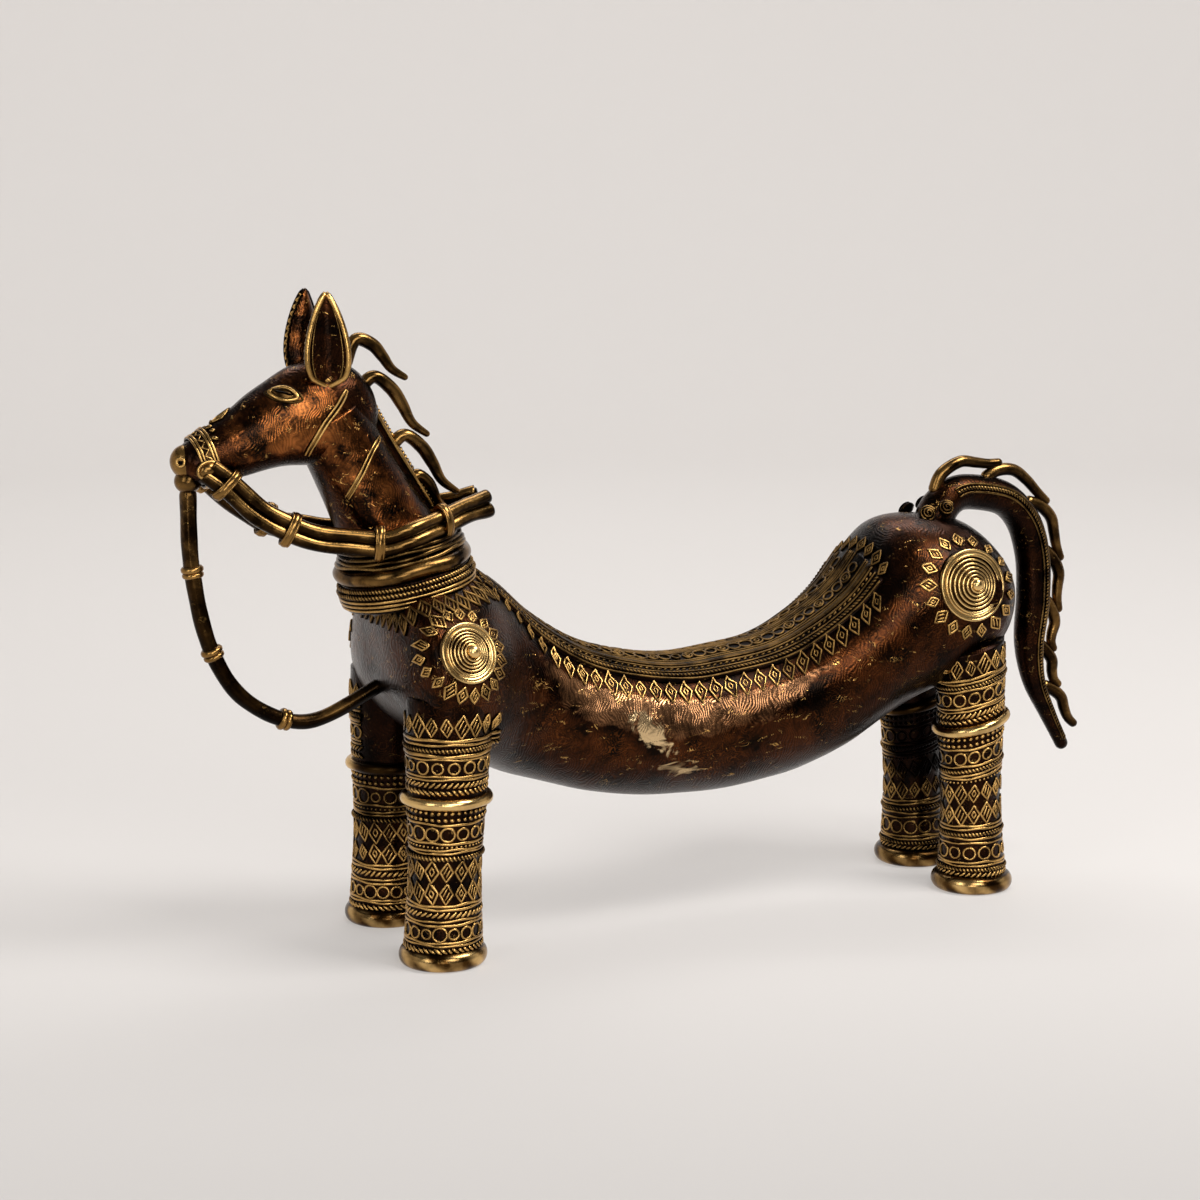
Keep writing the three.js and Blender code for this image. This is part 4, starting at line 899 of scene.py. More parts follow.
for side, name in sideNames.items():
    path = reinPath(side)
    share = np.linspace(0, 1, 160)
    centre, way, aside, above = pathFrame(path, share)
    flare = 1 + 0.1 * ease(share, 0.93, 1.0)
    waver = 0.25 * np.sin(31 * share + side)[:, None] * above
    reinForms = []
    for half in (-1, 1):
        line = centre + half * 0.93 * reins["tube"] * flare[:, None] * above + waver
        radius = reins["tube"] * flare * (1 + 0.03 * np.sin(47 * share + half))
        tube = cord(line, aside, radius, 22, coat=0)
        # Lighter on top and darker underneath: partly wear and partly painted shade
        upward = (tube[0].reshape(160, 22, 3) - line[:, None])[..., 2] / radius[:, None]
        reinForms.append(rubbed(tube, mix(0.18, 0.85, ease(upward, -0.6, 0.8))))
        # A dark flat ball at the tube's end is painted shade standing for its hollow
        hollow = line[-1] + 0.4 * way[-1]
        reinForms.append(ballForm(hollow, (1.6 * aside[-1], 1.6 * above[-1], 0.5 * way[-1]), 10, 16, 0.0))
    makePiece("rein" + name, reinForms, [satinBronze], "bright_bronze", "rein_" + name.lower())
    # Keeper: a flattened ring round both tubes, with a thin ring at each edge
    for number, place in enumerate(reins["keepers"], 1):
        centre, way, aside, above = (v[0] for v in pathFrame(path, np.array([place])))
        a = turns(48)
        wide, tall = reins["tube"] + 0.75, 1.93 * reins["tube"] + 0.75
        loop = centre + circle(a, wide * aside, tall * above) + 0.35 * np.sin(a)[:, None] * way
        facing = unit(circle(a, aside / wide, above / tall))
        ring = cord(loop, facing, 1.6, 12, True, 0.75, coat=0)
        forms = [rubbed(ring, 0.35 + 0.5 * ring[2])]
        for shift in (-1.3, 1.3):
            forms.append(cord(loop + shift * way + 0.45 * facing, facing, 0.5, 6, True, coat=0))
        makePiece(f"reinKeeper{name}{number}", forms, [satinBronze], "bright_bronze",
                  f"rein_keeper_{name.lower()}_{number}")
    # Bit: a leaf-shaped boss with a rim, on the side of the noseband
    bit = path[0]
    out = unit(side * lateral + 0.12 * headWay)
    leafUp = unit(np.cross(out, headWay))
    loop = bit + 0.6 * out + circle(turns(30), 3.7 * headWay, 2.9 * leafUp)
    bitForms = [ballForm(bit, (3.6 * headWay, 2.7 * leafUp, 2.4 * out), rub=0.75)]
    bitForms.append(cord(loop, out, 0.7, 7, True))
    makePiece("bitBoss" + name, bitForms, [satinBronze, threadBronze], "bright_bronze",
              "bit_knob_" + name.lower())

lead = {"chin": (55.04, -7.22), "top": 3.0, "bottom": 2.6, "drop": 87.0, "ferrules": [0.215, 0.43, 0.7],
        "bow": [[0, 0], [0.009, -0.341], [0.084, -0.683], [0.218, -0.889], [0.467, -1]]}
chin = headPoint(*lead["chin"])
bow = np.array(lead["bow"]) * lead["drop"]
leadPoints = np.vstack([chin + np.stack([bow[:, 0], 0 * bow[:, 0], bow[:, 1]], -1),
                        [[frontLegX - trunk["chestReach"] + 6, 0, hipLine + 10.5]]])
leadPath = smoothPath(leadPoints)
leadForm = barForm(leadPath, lambda share: mix(lead["top"], lead["bottom"], share), 150, 20,
                   lambda share, turn: 1 + 0.05 * np.cos(5 * turn + 4 * share) + 0.02 * np.sin(60 * share))
# Darker toward its lower end
leadForm = rubbed(leadForm, leadForm[2] * mix(0.45, 1.0, ease(leadForm[0][:, 2], 95, 160)))
makePiece("leadBar", [leadForm], [satinBronze], "bright_bronze", "lead_rope")
for number, place in enumerate(lead["ferrules"], 1):
    forms = []
    for shift, thick in ((-1.5, 1.35), (1.2, 1.15)):
        centre, _, aside, above = (v[0] for v in pathFrame(leadPath, np.array([place + shift / 190])))
        facing = circle(turns(36), aside, above)
        forms.append(cord(centre + 2.75 * facing, facing, thick, 10, True, coat=0))
    makePiece(f"leadFerrule{number}", forms, [satinBronze], "bright_bronze", f"lead_ferrule_{number}")
print("reins and lead laid")

# Collar: thin cords, a plain swelled band, a skirt with twisted rows, and a fringe of leaves on the shoulders

collar = {
    "tilt": 11.5, "seat": 2.0, "skirtRadius": 24.6, "skirtTop": -2.8, "skirtFoot": -12.8, "leafPitch": 5.6,
    # the skirt's twisted rows: height over its seat and length of one turn; then the plain rows' heights
    "ropes": [(-4.4, 2.6), (-6.3, 2.9)], "lines": [-8.2, -9.7, -11.2],
}
collarSeat = neckBase + collar["seat"] * neckWay


# Angle, height and radius about the collar's tilted axis
def collarPoint(angle, height, rho):
    angle, height, rho = np.broadcast_arrays(angle, height, rho)
    flat = np.stack([rho * np.cos(angle), rho * np.sin(angle), height], -1)
    return collarSeat + spun(flat, 1, -collar["tilt"])


# A ring about the collar's axis, wavering by two sines, with a round section drawn out by flat
def hoop(height, rho, radius, flat, rub, coat, sides):
    a = turns(128)
    waver = height + 0.3 * np.sin(3 * a + height) + 0.2 * np.sin(7 * a + 2 * height)
    ring = collarPoint(a, waver, rho + 0.3 * np.sin(5 * a + 3 * height))
    facing = unit(collarPoint(a, waver, rho + 2.0) - ring)
    return cord(ring, facing, radius, sides, True, flat, rub, coat)


cordForms = [hoop(3.9 + 1.55 * k, 22.6 - 0.55 * k, 0.95, 1.6, 0.72 - 0.06 * k, 1, 10) for k in range(4)]
makePiece("collarCords", cordForms, [darkBronze, threadBronze], "dark_bronze", "collar_cord")
bandForm = hoop(0.0, 21.0, 3.6, 1.22, 0.6, 0, 28)
makePiece("collarBand", [bandForm], [satinBronze], "bright_bronze", "collar_band")


# The skirt's radius: widest at 8 mm under its seat, narrowing by the square of the distance from there
def skirtRho(height):
    return collar["skirtRadius"] - 0.05 * (height + 8) ** 2


# The skirt's outside: angle round the collar, height over its seat
def skirtSkin(angle, height):
    return collarPoint(angle, height, skirtRho(height))


collarUp = spun(np.array([0.0, 0.0, 1.0]), 1, -collar["tilt"])
withers = collarSeat - 15.0 * collarUp


# The trunk's surface as seen from inside it under the collar: angle round the collar, fall from its axis
def withersSkin(angle, fall):
    angle, fall = np.broadcast_arrays(angle, fall)
    way = circle(fall, collarUp, collarPoint(angle, 0.0, 1.0) - collarSeat)
    return withers + trunkReach(withers, way, 75.0)[..., None] * way


# The fall at which the trunk comes out from under the skirt, for each angle
edgeAngle = np.linspace(-np.pi, 3 * np.pi, 240)
edgeFall = np.radians(np.linspace(30, 125, 190))
under = withersSkin(edgeAngle[:, None], edgeFall[None]) - collarSeat
underHeight = under @ collarUp
underRho = np.linalg.norm(under - underHeight[..., None] * collarUp, axis=-1)
clear = (underRho > skirtRho(underHeight) + 0.3) | (underHeight < collar["skirtFoot"] - 0.2)
edgeLine = edgeFall[np.argmax(clear, axis=1)]


# The fringe's ground: millimetres over the skirt's edge, less than 0 down the trunk
def fringeSkin(angle, height):
    return withersSkin(angle, np.interp(angle, edgeAngle, edgeLine) - np.asarray(height) / 26)


skirtAt = np.linspace(collar["skirtFoot"], collar["skirtTop"], 24)[:, None]
skirtForms = [gridForm(skirtSkin(halfAngles, skirtAt), 0.08)]
for height, lay in collar["ropes"]:
    skirtForms.append(thread(skirtSkin, turns(420), height, 0.85, lay, True))
for height in collar["lines"]:
    skirtForms.append(thread(skirtSkin, full, height, 0.62, closed=True))
leafAngles = paced(fringeSkin, (0, 2 * np.pi), -5.0, collar["leafPitch"])
backness = ease(np.cos(leafAngles), 0.35, 0.9)
leaves = handPlaces(leafAngles, -3.4 - 0.6 * backness, size=1 + 0.15 * backness, stray=0.09)
skirtForms += diamondForms(fringeSkin, leaves, 4.6, 8.2, 0.6, lift=0.4, coat=2)
makePiece("collarSkirt", skirtForms, [darkBronze, threadBronze, clothBronze], "dark_bronze", "collar_skirt")
print("collar laid")

# Saddle cloth: a strip of close threads down the back with a hanging fringe of diamonds

cloth = {
    "front": 0.165, "rear": 0.82, "edge": 43.0, "lift": 1.1, "pitch": 6.2,
    # places across of the flat strips, ropes, loops, ticks and fringe
    "strip": 0.58, "rope": 0.87, "loops": 0.28, "ticks": 0.72, "fringe": 1.2,
    # place across and radius of the plain lines
    "lines": [
        (0.0, 0.5), (0.05, 0.35), (0.12, 0.4), (0.44, 0.4),
        (0.5, 0.45), (0.66, 0.5), (0.78, 0.4), (0.95, 0.55),
    ],
}


# Degrees from the back to the cloth's edge, less toward its front
def clothHalf(share):
    return cloth["edge"] * mix(0.6, 1.0, ease(share, cloth["front"], 0.33))


# A point of the cloth: share of the trunk's length, place across from -1 at the left edge to 1 at the right
def clothSkin(share, across):
    share, across = np.broadcast_arrays(share, across)
    lift = cloth["lift"] * (1 - ease(np.abs(across), 1.0, 1.08))
    return trunkSkin(share, np.radians(90 - clothHalf(share) * across), lift)


clothShare = np.linspace(cloth["front"], cloth["rear"], 140)
clothAcross = np.linspace(1, -1, 41)
clothTop = clothSkin(clothShare[:, None], clothAcross[None])
underAngle = np.radians(90 - clothHalf(clothShare)[:, None] * clothAcross[None, ::-1])
clothUnder = trunkSkin(clothShare[:, None], underAngle, -1.6)
clothForms = [gridForm(np.concatenate([clothTop, clothUnder], 1), 0.05)]
run = np.linspace(cloth["front"] + 0.003, cloth["rear"] - 0.003, 170)
longRun = np.linspace(cloth["front"] + 0.003, cloth["rear"] - 0.003, 700)
for across, radius in cloth["lines"]:
    for side in (-1, 1) if across else (1,):
        ripple = side * across + 0.008 * np.sin(40 * run + 9 * across)
        clothForms.append(thread(clothSkin, run, ripple, radius, sides=5, rub=0.9))
for side in (-1, 1):
    clothForms.append(thread(clothSkin, run, side * cloth["strip"], 1.2, flat=0.45, rub=0.75))
    clothForms.append(thread(clothSkin, longRun, side * cloth["rope"], 0.7, lay=3.2))
    loopAt = paced(clothSkin, (cloth["front"] + 0.03, cloth["rear"] - 0.01), side * cloth["loops"], 5.0)
    loops = handPlaces(loopAt, side * cloth["loops"], stray=0.12)
    clothForms.append(motifs(clothSkin, loops, roundStroke(2.3), 0.5, closed=True, lift=0.5))
    clothForms.append(motifs(clothSkin, loops[::3], roundStroke(1.0, 8), 0.45, closed=True, lift=0.5))
    tickAt = paced(clothSkin, (cloth["front"] + 0.02, cloth["rear"] - 0.005), side * cloth["ticks"], 2.6)
    ticks = handPlaces(tickAt, side * cloth["ticks"], stray=0.15)
    clothForms.append(motifs(clothSkin, ticks, slantStroke(1.5, 0.5), 0.5, lift=0.5))
    hangSpan = (cloth["front"] + 0.01, cloth["rear"] - 0.005)
    hangAt = paced(clothSkin, hangSpan, side * cloth["fringe"], cloth["pitch"])
    grown = ease(hangAt, 0.22, 0.33)
    worn = ease(hangAt, 0.58, 0.72)
    hangAcross = side * (mix(1.1, 1.21, grown) - 0.06 * worn)
    hang = handPlaces(hangAt, hangAcross, size=mix(0.55, 1.0, grown), stray=0.06)
    hang[:, 2] += np.pi if side > 0 else 0.0
    bright = (grown >= 0.7) & (worn < 0.5)
    for chosen, coat in ((~bright, 1), (bright, 2)):
        clothForms += diamondForms(
            clothSkin, hang[chosen], 4.9, 7.4, 0.5, drop=1.0, bars=False, lift=0.5, coat=coat)
endAcross = np.linspace(-0.85, 0.85, 8)
tailEnd = handPlaces(np.full(8, cloth["rear"] + 0.004), endAcross, turn=np.pi / 2, stray=0.06)
clothForms += diamondForms(clothSkin, tailEnd, 4.4, 6.6, 0.5, bars=False, lift=0.35)
makePiece("saddleCloth", clothForms, [darkBronze, clothBronze, threadBronze], "dark_bronze", "saddle_cloth")
print("saddle cloth laid")

# Rosettes: a coiled thread on a low cone inside a flat rim, with a sunburst of diamonds on the trunk

rosettes = {
    "shoulder": {
        "centre": (-92.5, 42.2, 114.5), "radius": 11.0, "tilt": 20.0, "yaw": 10.0,
        "turns": 5.5, "coil": 0.42, "rays": 19,
    },
    "hip": {
        "centre": (118.5, 33.5, 123.2), "radius": 14.0, "tilt": 12.0, "yaw": 0.0,
        "turns": 6.0, "coil": 0.52, "rays": 17,
    },
}
rimWidth = 2.6


# Height of the boss inside its rim: a cone that steepens toward its point
def bossRise(reach, size):
    return 0.4 + 4.4 * (1 - np.clip(reach / (size - rimWidth), 0, 1)) ** 1.1


for place, rosette in rosettes.items():
    for side, name in sideNames.items():
        size = rosette["radius"]
        centre = np.array(rosette["centre"]) * [1, side, 1]
        tilt, yaw = np.radians(rosette["tilt"]), np.radians(rosette["yaw"])
        out = np.array([np.sin(yaw) * np.cos(tilt), side * np.cos(yaw) * np.cos(tilt), np.sin(tilt)])
        first = unit(np.cross([0.0, 0.0, 1.0], out))
        second = np.cross(out, first)

        # A point of the rosette's plane
        def plane(x, y, centre=centre, first=first, second=second):
            x, y = np.broadcast_arrays(x, y)
            return centre + x[..., None] * first + y[..., None] * second

        # The boss over the plane
        def cone(x, y, plane=plane, out=out, size=size):
            return plane(x, y) + bossRise(np.hypot(x, y), size)[..., None] * out

        # The trunk's surface straight below a point of the plane
        def shoulderSkin(x, y, plane=plane, out=out):
            start = plane(x, y) - 16 * out
            return start + trunkReach(start, out, 40.0)[..., None] * out

        # The boss: back plate, rim and cone as one turned profile, radius and height
        slope = np.linspace(size - rimWidth, 0.3, 12)
        profile = np.array([[0.4, -9], [size - 0.2, -9], [size, -0.6], [size - 0.1, 0.5], [size - 0.7, 1.0],
                            [size - 2.0, 1.0]])
        profile = np.vstack([profile, np.stack([slope, bossRise(slope, size) - 0.1], -1)])
        ringWay = circle(turns(96), first, second)
        boss = centre + profile[:, 0, None, None] * ringWay + profile[:, 1, None, None] * out
        bossRub = np.concatenate([[0, 0, 0.4, 0.8, 1, 1], np.linspace(0.12, 0.25, 12)])[:, None]
        forms = [gridForm(boss, bossRub)]
        coil = np.linspace(0, 1, int(60 * rosette["turns"]))
        coilRadius = mix(size - 2.9, 1.7, coil ** 0.92)
        coilTurn = side * 2 * np.pi * rosette["turns"] * coil
        x, y = coilRadius * np.cos(coilTurn), coilRadius * np.sin(coilTurn)
        forms.append(thread(cone, x, y, rosette["coil"], sides=8, lift=0.6, coat=0))
        forms.append(ballForm(centre + 4.3 * out, (2.5 * first, 2.5 * second, 2.0 * out), 16, 24, 1.0))
        for ringRadius, ringThick in ((size - 0.5, 0.6), (size - 2.5, 0.55)):
            ring = centre + ringRadius * ringWay + 0.8 * out
            forms.append(cord(ring, out, ringThick, 7, True, coat=0))
        ray = 2 * np.pi * (np.arange(rosette["rays"]) + 0.3) / rosette["rays"]
        reach = size + 3.9
        spots = handPlaces(reach * np.cos(ray), reach * np.sin(ray), turn=ray - np.pi / 2, stray=0.08)
        forms += diamondForms(shoulderSkin, spots[::2], 4.3, 6.2, 0.55, lift=0.35)
        forms += diamondForms(shoulderSkin, spots[1::2], 4.1, 5.8, 0.55, bars=False, lift=0.35)
        makePiece(place + "Rosette" + name, forms, [rubbedBronze, threadBronze], "bright_bronze",
                  f"{place}_rosette_{name.lower()}")
print("rosettes laid")

# Legs: round posts ringed with rows of ornament

# Rows from the top down: kind, height, and the radius, size or lean
# Rows over "half" run on the outer side only
# "inner" and "bare" scale the painted shade on each leg's inner side, below and above the last diamonds
legs = {
    "front": {
        "x": -95.5, "y": 30.0, "top": 15.4, "waist": 12.7, "lean": 3.0, "knee": 61.0, "tilt": 0.0,
        "inner": 1.0, "bare": 0.7, "half": 62.0,
        "rows": [
            ("diamond", 88.9, 7.6), ("line", 84.2, 0.8), ("line", 82.5, 0.6), ("rope", 80.6, 0.8),
            ("line", 78.6, 0.9), ("line", 77.2, 0.5), ("circle", 74.1, 2.3), ("line", 71.0, 0.55),
            ("line", 69.9, 0.55), ("slant", 67.9, 1), ("slant", 65.2, -1), ("dot", 57.8, 1),
            ("dot", 55.4, -1), ("line", 53.6, 0.6), ("circle", 50.0, 2.3), ("line", 46.7, 0.6),
            ("bead", 45.4, 0.5), ("line", 44.2, 0.55), ("line", 43.1, 0.5), ("rope", 41.2, 0.9),
            ("diamond", 36.3, 7.6), ("diamond", 28.3, 7.6), ("line", 24.0, 0.6), ("line", 22.7, 0.6),
            ("slant", 20.6, 1), ("line", 18.4, 0.5), ("line", 17.0, 0.6), ("circle", 13.7, 2.1),
            ("line", 10.7, 0.6), ("line", 9.6, 0.5), ("slant", 7.6, -1),
        ],
    },
    "rear": {
        "x": 125.5, "y": 22.5, "top": 13.4, "waist": 11.4, "lean": -3.0, "knee": 67.5, "tilt": 15.0,
        "inner": 0.7, "bare": 0.3, "half": 70.0,
        "rows": [
            ("diamond", 92.5, 7.4), ("line", 88.2, 0.7), ("line", 86.8, 0.6), ("rope", 85.2, 0.75),
            ("line", 83.6, 0.6), ("circle", 80.2, 2.3), ("line", 76.8, 0.6), ("line", 75.6, 0.5),
            ("slant", 73.6, 1), ("slant", 71.3, -1), ("dot", 64.2, 1), ("dot", 61.8, -1), ("line", 60.0, 0.6),
            ("circle", 56.4, 2.3), ("line", 53.0, 0.6), ("rope", 51.2, 0.8), ("line", 49.4, 0.6),
            ("line", 48.0, 0.6), ("bead", 46.6, 0.5), ("diamond", 41.4, 7.8), ("diamond", 32.6, 7.8),
            ("line", 27.8, 0.6), ("line", 26.4, 0.6), ("rope", 24.4, 0.8), ("line", 22.6, 0.6),
            ("line", 20.6, 0.5), ("circle", 16.6, 2.4), ("line", 12.8, 0.6), ("line", 11.5, 0.5),
            ("rope", 9.8, 0.75), ("slant", 7.8, 1),
        ],
    },
}
foot = {"radius": 16.0, "bulge": 2.7, "middle": 3.3, "half": 3.4, "top": 6.5}


# A spline from the foot through the waist to the top, and a half-round rim at the foot
def legRadius(leg, height):
    shank = rowSpline([[mix(leg["waist"], foot["radius"], 0.3), 9.5], [leg["waist"], 34],
                       [mix(leg["waist"], leg["top"], 0.4), 61], [leg["top"], 88]], np.linspace(0, 1, 200))
    bulge = np.sqrt(np.clip(1 - ((height - foot["middle"]) / foot["half"]) ** 2, 0, 1))
    rim = foot["radius"] - foot["bulge"] + foot["bulge"] * bulge
    post = np.interp(height, shank[:, 1], shank[:, 0])
    return np.where(height < foot["top"], np.maximum(rim, np.where(height > foot["top"] - 1, post, 0)), post)


# Rows of small strokes: pitch, stray and stroke for a row's size, then radius, sides and lift
strokeRows = {
    "circle": lambda size: (2.42 * size, 0.1, roundStroke(size), 0.52, 5, True, 0.25),
    "slant": lambda size: (2.1, 0.08, slantStroke(2.3, 1.9 * size), 0.62, 6, False, 0.4),
    "dot": lambda size: (2.3, 0.1, slantStroke(1.1, size), 0.78, 6, False, 0.35),
    "bead": lambda size: (1.7, 0.05, slantStroke(0.8, 0.05), size, 6, False, 0.4),
}

for end, leg in legs.items():
    for side, name in sideNames.items():

        # A point of the leg: angle anticlockwise about it, height before the rows' tilt, out of the trunk
        def legSkin(angle, height, leg=leg, side=side, proud=True):
            angle, height = np.broadcast_arrays(np.asarray(angle, float), np.asarray(height, float))
            tilt = np.tan(np.radians(leg["tilt"])) * ease(height, 4, 60)
            radius = legRadius(leg, height)
            z = height + tilt * radius * np.cos(angle)
            radius = legRadius(leg, z)
            axis = np.stack([leg["x"] - leg["lean"] * (1 - z / hipLine), 0 * z + side * leg["y"], z], -1)
            way = np.stack([np.cos(angle), np.sin(angle), 0 * angle], -1)
            if proud and np.max(z) > 80:
                inside = trunkDepth(axis + radius[..., None] * way) < 1
                radius = np.where(inside, np.minimum(trunkReach(axis, way, 60.0), radius + 3), radius)
            return axis + radius[..., None] * way

        heights = np.concatenate([[0.02], np.linspace(0.25, 6.4, 14), np.linspace(7, 98, 110)])
        post = legSkin(halfAngles, heights[:, None], proud=False)
        blotch = np.sin(3 * halfAngles + leg["x"]) * np.sin(7 * halfAngles + 0.3 * np.arange(16)[:, None])
        rim = np.append(np.full(14, 0.55), [0.3, 0.1])[:, None] * (1 + 0.6 * blotch)
        legForms = [gridForm(post[15:], 0.12), gridForm(post[:16], rim, 2)]
        outward = side * np.pi / 2
        for kind, height, size in leg["rows"]:
            part = height > leg["half"]
            span = (outward - 2.0, outward + 2.0) if part else (0, 2 * np.pi)
            long = np.linspace(*span, 480, endpoint=part)
            if kind == "line":
                wander = 0.22 * np.sin(3 * long + height) + 0.14 * np.sin(7 * long + 2 * height)
                line = (height + wander)[::5]
                legForms.append(thread(legSkin, long[::5], line, size, closed=not part, flat=0.85))
            elif kind == "rope":
                legForms.append(thread(legSkin, long, height, size, lay=2.8, closed=not part))
            elif kind == "diamond":
                places = handPlaces(paced(legSkin, span, height, 5.3), height, stray=0.1)
                legForms += diamondForms(legSkin, places[::2], 4.7, size, 0.52)
                legForms += diamondForms(legSkin, places[1::2], 4.7, size, 0.52, bars=height > 62)
            else:
                pitch, stray, stroke, *rest = strokeRows[kind](size)
                places = handPlaces(paced(legSkin, span, height, pitch), height, stray=stray)
                legForms.append(motifs(legSkin, places, stroke, *rest))
        # Painted shade on the inner sides, darker above the last diamonds
        for number, form in enumerate(legForms):
            inner = mix(leg["inner"], leg["bare"], ease(form[0][:, 2], 33, 42))
            outsideLit = ease(side * form[0][:, 1] - leg["y"], -9, 3)
            legForms[number] = rubbed(form, form[2] * mix(inner, 1.0, outsideLit))
        makePiece(f"{end}Leg{name}", legForms, [darkBronze, threadBronze, rubbedBronze], "dark_bronze",
                  f"leg_{end}_{name.lower()}")

        # Knee ring: a thick uneven ring, with painted shade on its inner half
        a = turns(110)
        kneeAt, kneeNormal = onSkin(legSkin, a, np.full(110, leg["knee"]), 0.9)
        uneven = 2.1 * (1 + 0.05 * np.sin(3 * a + 1) + 0.04 * np.sin(7 * a))
        knee = cord(kneeAt, kneeNormal, uneven, 16, True, coat=0)
        outsideLit = ease(side * knee[0][:, 1] - leg["y"], -9, 0)
        knee = rubbed(knee, (0.45 + 0.5 * knee[2]) * mix(0.15, 1.0, outsideLit))
        makePiece(f"{end}KneeRing{name}", [knee], [rubbedBronze], "bright_bronze",
                  f"knee_ring_{end}_{name.lower()}")
print("legs laid")

# Tail: an arched bar with lines and a twisted cord along its sides, spirals at its root, and hooked strands

tail = {
    "root": (122.0, 0.0, 145.5), "drop": 99.5, "rootRadius": 8.0, "radius": 6.9, "tip": 2.6,
    "strandRadius": 2.6, "strandStand": 5.2, "strands": 7, "cordAngle": 58.0,
    "stands": [-0.4, 0.55, 0.98, 0.92, 0.95, 1.25],
    # centre and size of the spirals at the root
    "spirals": [((113.5, 8.4, 148.0), 3.4), ((121.5, 9.2, 150.0), 3.2)],
    "arch": [
        [-0.03, -0.101], [0.015, 0.03], [0.09, 0.085], [0.201, 0.085], [0.322, 0.05], [0.407, -0.035],
        [0.457, -0.171], [0.467, -0.352], [0.455, -0.553], [0.482, -0.704], [0.548, -0.839], [0.638, -1],
    ],
}
arch = np.array(tail["arch"]) * tail["drop"]
tailRoot = np.array(tail["root"])
tailPath = smoothPath(tailRoot + np.stack([arch[:, 0], 0 * arch[:, 0], arch[:, 1]], -1))


# Thick at the root, even along the arch, then thinning to the tip
def tailRadius(share):
    root = mix(tail["rootRadius"], tail["radius"], ease(share, 0.05, 0.2))
    return mix(root, tail["tip"], ease(share, 0.55, 1.0))


# A point of the tail: angle anticlockwise about its way from its right side, share of its length
def tailSkin(angle, share):
    angle, share = np.broadcast_arrays(angle, share)
    centre, _, aside, above = pathFrame(tailPath, share)
    return centre + tailRadius(share)[..., None] * circle(angle, aside, above)


tailForms = [barForm(
    tailPath, tailRadius, 150, 40, lambda share, turn: 1 + 0.02 * np.sin(23 * share + 2 * turn), (0.04, 0.3))]
along, closeAlong = np.linspace(0.13, 0.97, 260), np.linspace(0.13, 0.97, 520)
for side in (-1, 1):
    lean = np.pi / 2 - side * np.radians(tail["cordAngle"])
    tailForms.append(thread(tailSkin, lean, along[::2], 0.6, rub=0.7))
    tailForms.append(thread(tailSkin, lean - side * 0.22, closeAlong, 0.75, lay=2.8, rub=0.85))
    tailForms.append(thread(tailSkin, lean - side * 0.46, along[::2], 0.5, rub=0.7))
    for spot, size in tail["spirals"]:
        spin = np.linspace(0, 1, 90)[:, None]
        centre = np.array(spot) * [1, side, 1]
        out = unit(np.array([-0.2, side * 0.85, 0.5]))
        first = unit(np.cross(lateral, out))
        second = np.cross(out, first)
        turn = 2 * np.pi * 2.6 * spin[:, 0]
        curl = centre + mix(size, 0.5, spin) * circle(turn, first, second) + 1.4 * spin * out
        tailForms.append(cord(curl, out, 0.55, 7, rub=0.6))
        tailForms.append(ballForm(centre - 0.6 * out, (size * first, size * second, 1.0 * out), 12, 24, 0.05))
makePiece("tailArch", tailForms, [darkBronze, threadBronze], "dark_bronze", "tail")

stands = np.array(tail["stands"]) * tail["strandStand"]
pitch = 0.83 / tail["strands"]
for number in range(tail["strands"]):
    share = np.minimum(0.1 + pitch * (number + 1.32 * np.arange(6) / 5), 0.995)
    centre, _, _, above = pathFrame(tailPath, share)
    hook = centre + (tailRadius(share) + stands)[:, None] * above
    strand = barForm(
        smoothPath(hook), lambda share: tail["strandRadius"] * (1 - 0.35 * share ** 2), 70, 18,
        lambda share, turn: 1 + 0.05 * np.sin(11 * share + turn), (0.05, 0.78))
    makePiece(f"tailStrand{number + 1}", [strand], [satinBronze], "bright_bronze",
              f"tail_strand_{number + 1}")
print("tail laid")

# Stage: a round paper sweep, floor and wall in one, with soft lamps inside it

stage = {"floorRadius": 1.5, "bend": 0.7, "wall": 1.4, "paper": "#dfdad6", "darkRoom": "#75726f", "even": 0.5}
bend = np.linspace(0.08, np.pi / 2, 18)
edge = stage["floorRadius"] + stage["bend"]
reach = np.concatenate([np.linspace(0.02, stage["floorRadius"], 24),
                        stage["floorRadius"] + stage["bend"] * np.sin(bend), np.full(6, edge)])
level = np.concatenate([np.zeros(24), stage["bend"] * (1 - np.cos(bend)),
                        np.linspace(stage["bend"] + 0.2, stage["wall"], 6)])
turn = turns(120)
sweepX, sweepY = reach[:, None] * np.cos(turn), reach[:, None] * np.sin(turn)
sweep = np.stack([sweepX, sweepY, level[:, None] + 0 * turn], -1)
index = np.arange(sweep.shape[0] * 120).reshape(-1, 120)
ring = np.concatenate([index, index[:, :1]], 1)
quads = np.stack([ring[:-1, :-1], ring[1:, :-1], ring[1:, 1:], ring[:-1, 1:]], -1).reshape(-1, 4)
paperMesh = bpy.data.meshes.new("paperSweep")
paperMesh.from_pydata(sweep.reshape(-1, 3).tolist(), [], quads.tolist() + [index[0].tolist()])
paperMesh.polygons.foreach_set("use_smooth", np.ones(len(paperMesh.polygons), bool))
paperMesh.update()
paper, tree = blankMaterial("mattCoatedPaper")
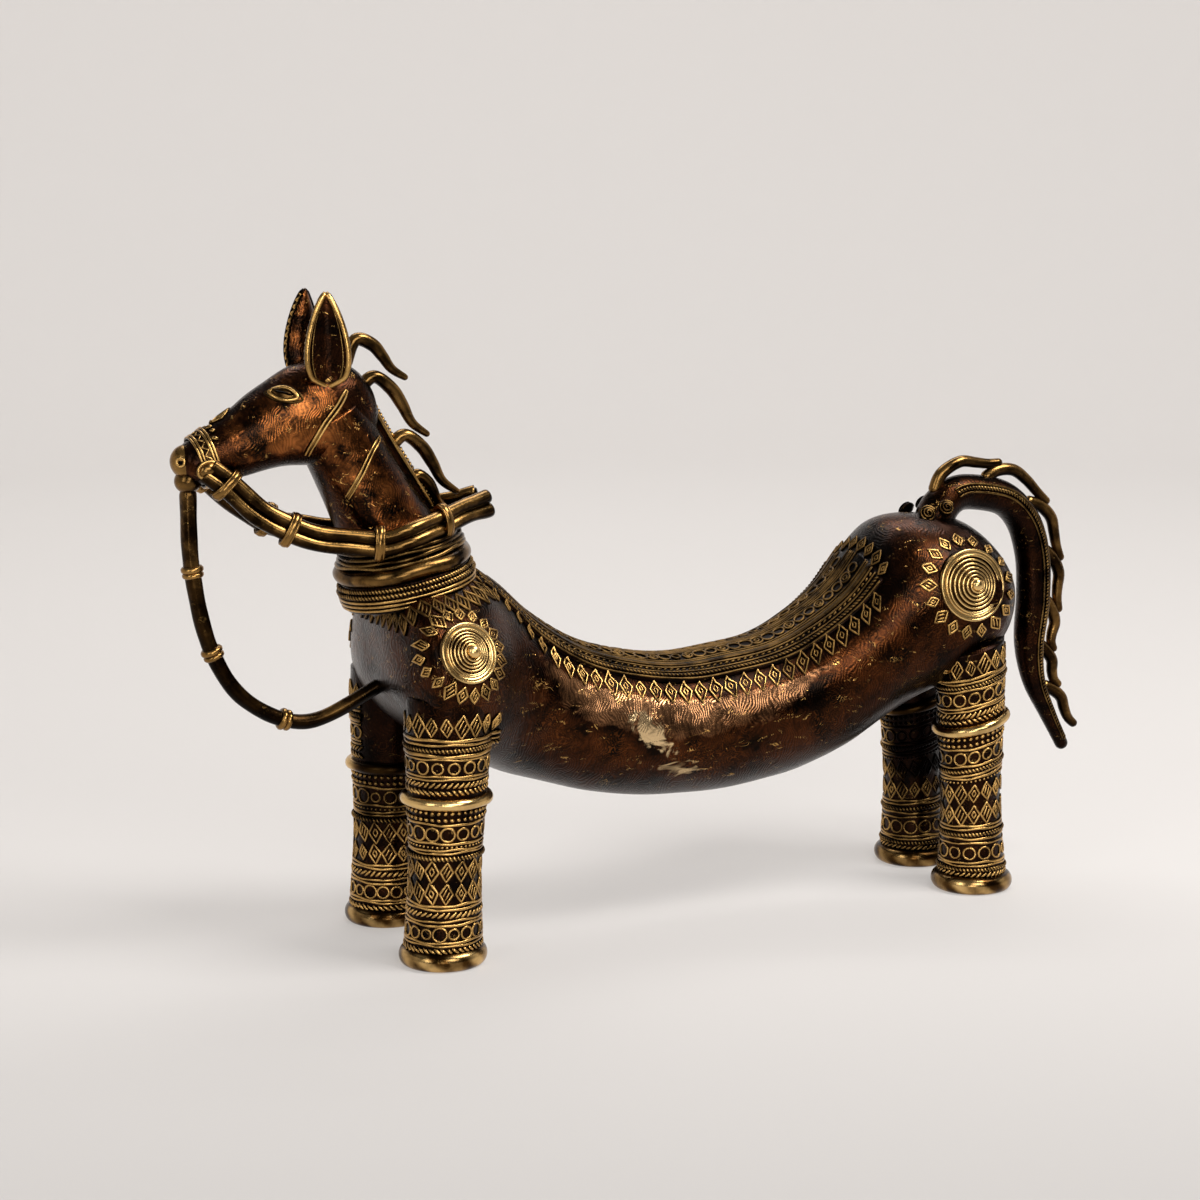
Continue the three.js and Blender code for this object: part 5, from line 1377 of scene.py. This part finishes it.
# Pale under and behind the horse, darker toward the camera: a painted shade on the near floor, and a painted
# dark room behind the camera
place = addNode(tree, "ShaderNodeTexCoord").outputs["Object"]
settings = {"operation": "DOT_PRODUCT", 1: (-0.2, -0.98, 0.0)}
toCamera = addNode(tree, "ShaderNodeVectorMath", settings, {0: place}).outputs["Value"]
settings = {"From Min": 0.0, "From Max": 1.0}
paintedShadeShare = addNode(tree, "ShaderNodeMapRange", settings, {"Value": toCamera}).outputs["Result"]
settings = {"data_type": "RGBA", 6: tone(stage["paper"]), 7: tone(stage["darkRoom"])}
colour = addNode(tree, "ShaderNodeMix", settings, {0: paintedShadeShare}).outputs[2]
settings = {"Roughness": 0.9, "Specular IOR Level": 0.2}
matt = addNode(tree, "ShaderNodeBsdfPrincipled", settings, {"Base Color": colour}).outputs[0]
# Half of the paper's tone is its own for what the camera and reflections see, the rest keeps the shadow
glow = addNode(tree, "ShaderNodeEmission", {"Strength": 1.0}, {"Color": colour}).outputs[0]
rays = addNode(tree, "ShaderNodeLightPath").outputs
seen = rays["Is Camera Ray"]
for ray in ("Is Glossy Ray", "Is Transmission Ray"):
    seen = addNode(tree, "ShaderNodeMath", {"operation": "MAXIMUM"}, {0: seen, 1: rays[ray]}).outputs[0]
even = addNode(tree, "ShaderNodeMath", {"operation": "MULTIPLY", 1: stage["even"]}, {0: seen}).outputs[0]
surface = addNode(tree, "ShaderNodeMixShader", None, {0: even, 1: matt, 2: glow}).outputs[0]
addNode(tree, "ShaderNodeOutputMaterial", None, {"Surface": surface})
paperMesh.materials.append(paper)
paperSweep = bpy.data.objects.new("paperSweep", paperMesh)
scene.collection.objects.link(paperSweep)

# Lamps: place, aim, size and power. A soft box overhead to the right, a wide dim one over the camera, a small
# low one beside it, an edge light at the left, one for the floor behind the horse, a dim sky, and one for the
# paper behind.
lamps = {
    "key": {"place": (0.52, -0.52, 1.15), "aim": (0.0, 0.0, 0.1), "size": (0.6, 0.45), "power": 14.5},
    "wide": {"place": (-0.1, -1.3, 0.75), "aim": (0.0, 0.0, 0.1), "size": (0.9, 0.5), "power": 8.6},
    "front": {"place": (-0.5, -1.2, 0.16), "aim": (-0.05, 0.0, 0.12), "size": (0.4, 0.3), "power": 2.6},
    "edge": {"place": (-1.15, -0.65, 0.6), "aim": (-0.05, 0.0, 0.12), "size": (0.4, 0.8), "power": 3.2},
    "behind": {"place": (0.2, 0.7, 1.3), "aim": (0.0, 0.15, 0.0), "size": (1.2, 0.6), "power": 5},
    "sky": {"place": (0.0, 0.0, 1.8), "aim": (0.0, 0.0, 0.0), "size": (4.0, 4.0), "power": 6.0},
    "paper": {"place": (0.45, 0.9, 1.7), "aim": (0.85, 1.9, 0.25), "size": (1.6, 0.3), "power": 15},
}
for name, lamp in lamps.items():
    light = bpy.data.lights.new(name, "AREA")
    light.shape = "ELLIPSE" if name == "sky" else "RECTANGLE"
    light.size, light.size_y = lamp["size"]
    light.energy = lamp["power"]
    holder = bpy.data.objects.new(name, light)
    holder.location = lamp["place"]
    holder.rotation_euler = looking(lamp["place"], lamp["aim"])
    holder.visible_camera = False
    scene.collection.objects.link(holder)
world = bpy.data.worlds.new("darkRoom")
world.use_nodes = True
background = world.node_tree.nodes["Background"].inputs
background["Color"].default_value = tone("#d9d4cf")
background["Strength"].default_value = 0.05
scene.world = world
print("stage and lamps ready")
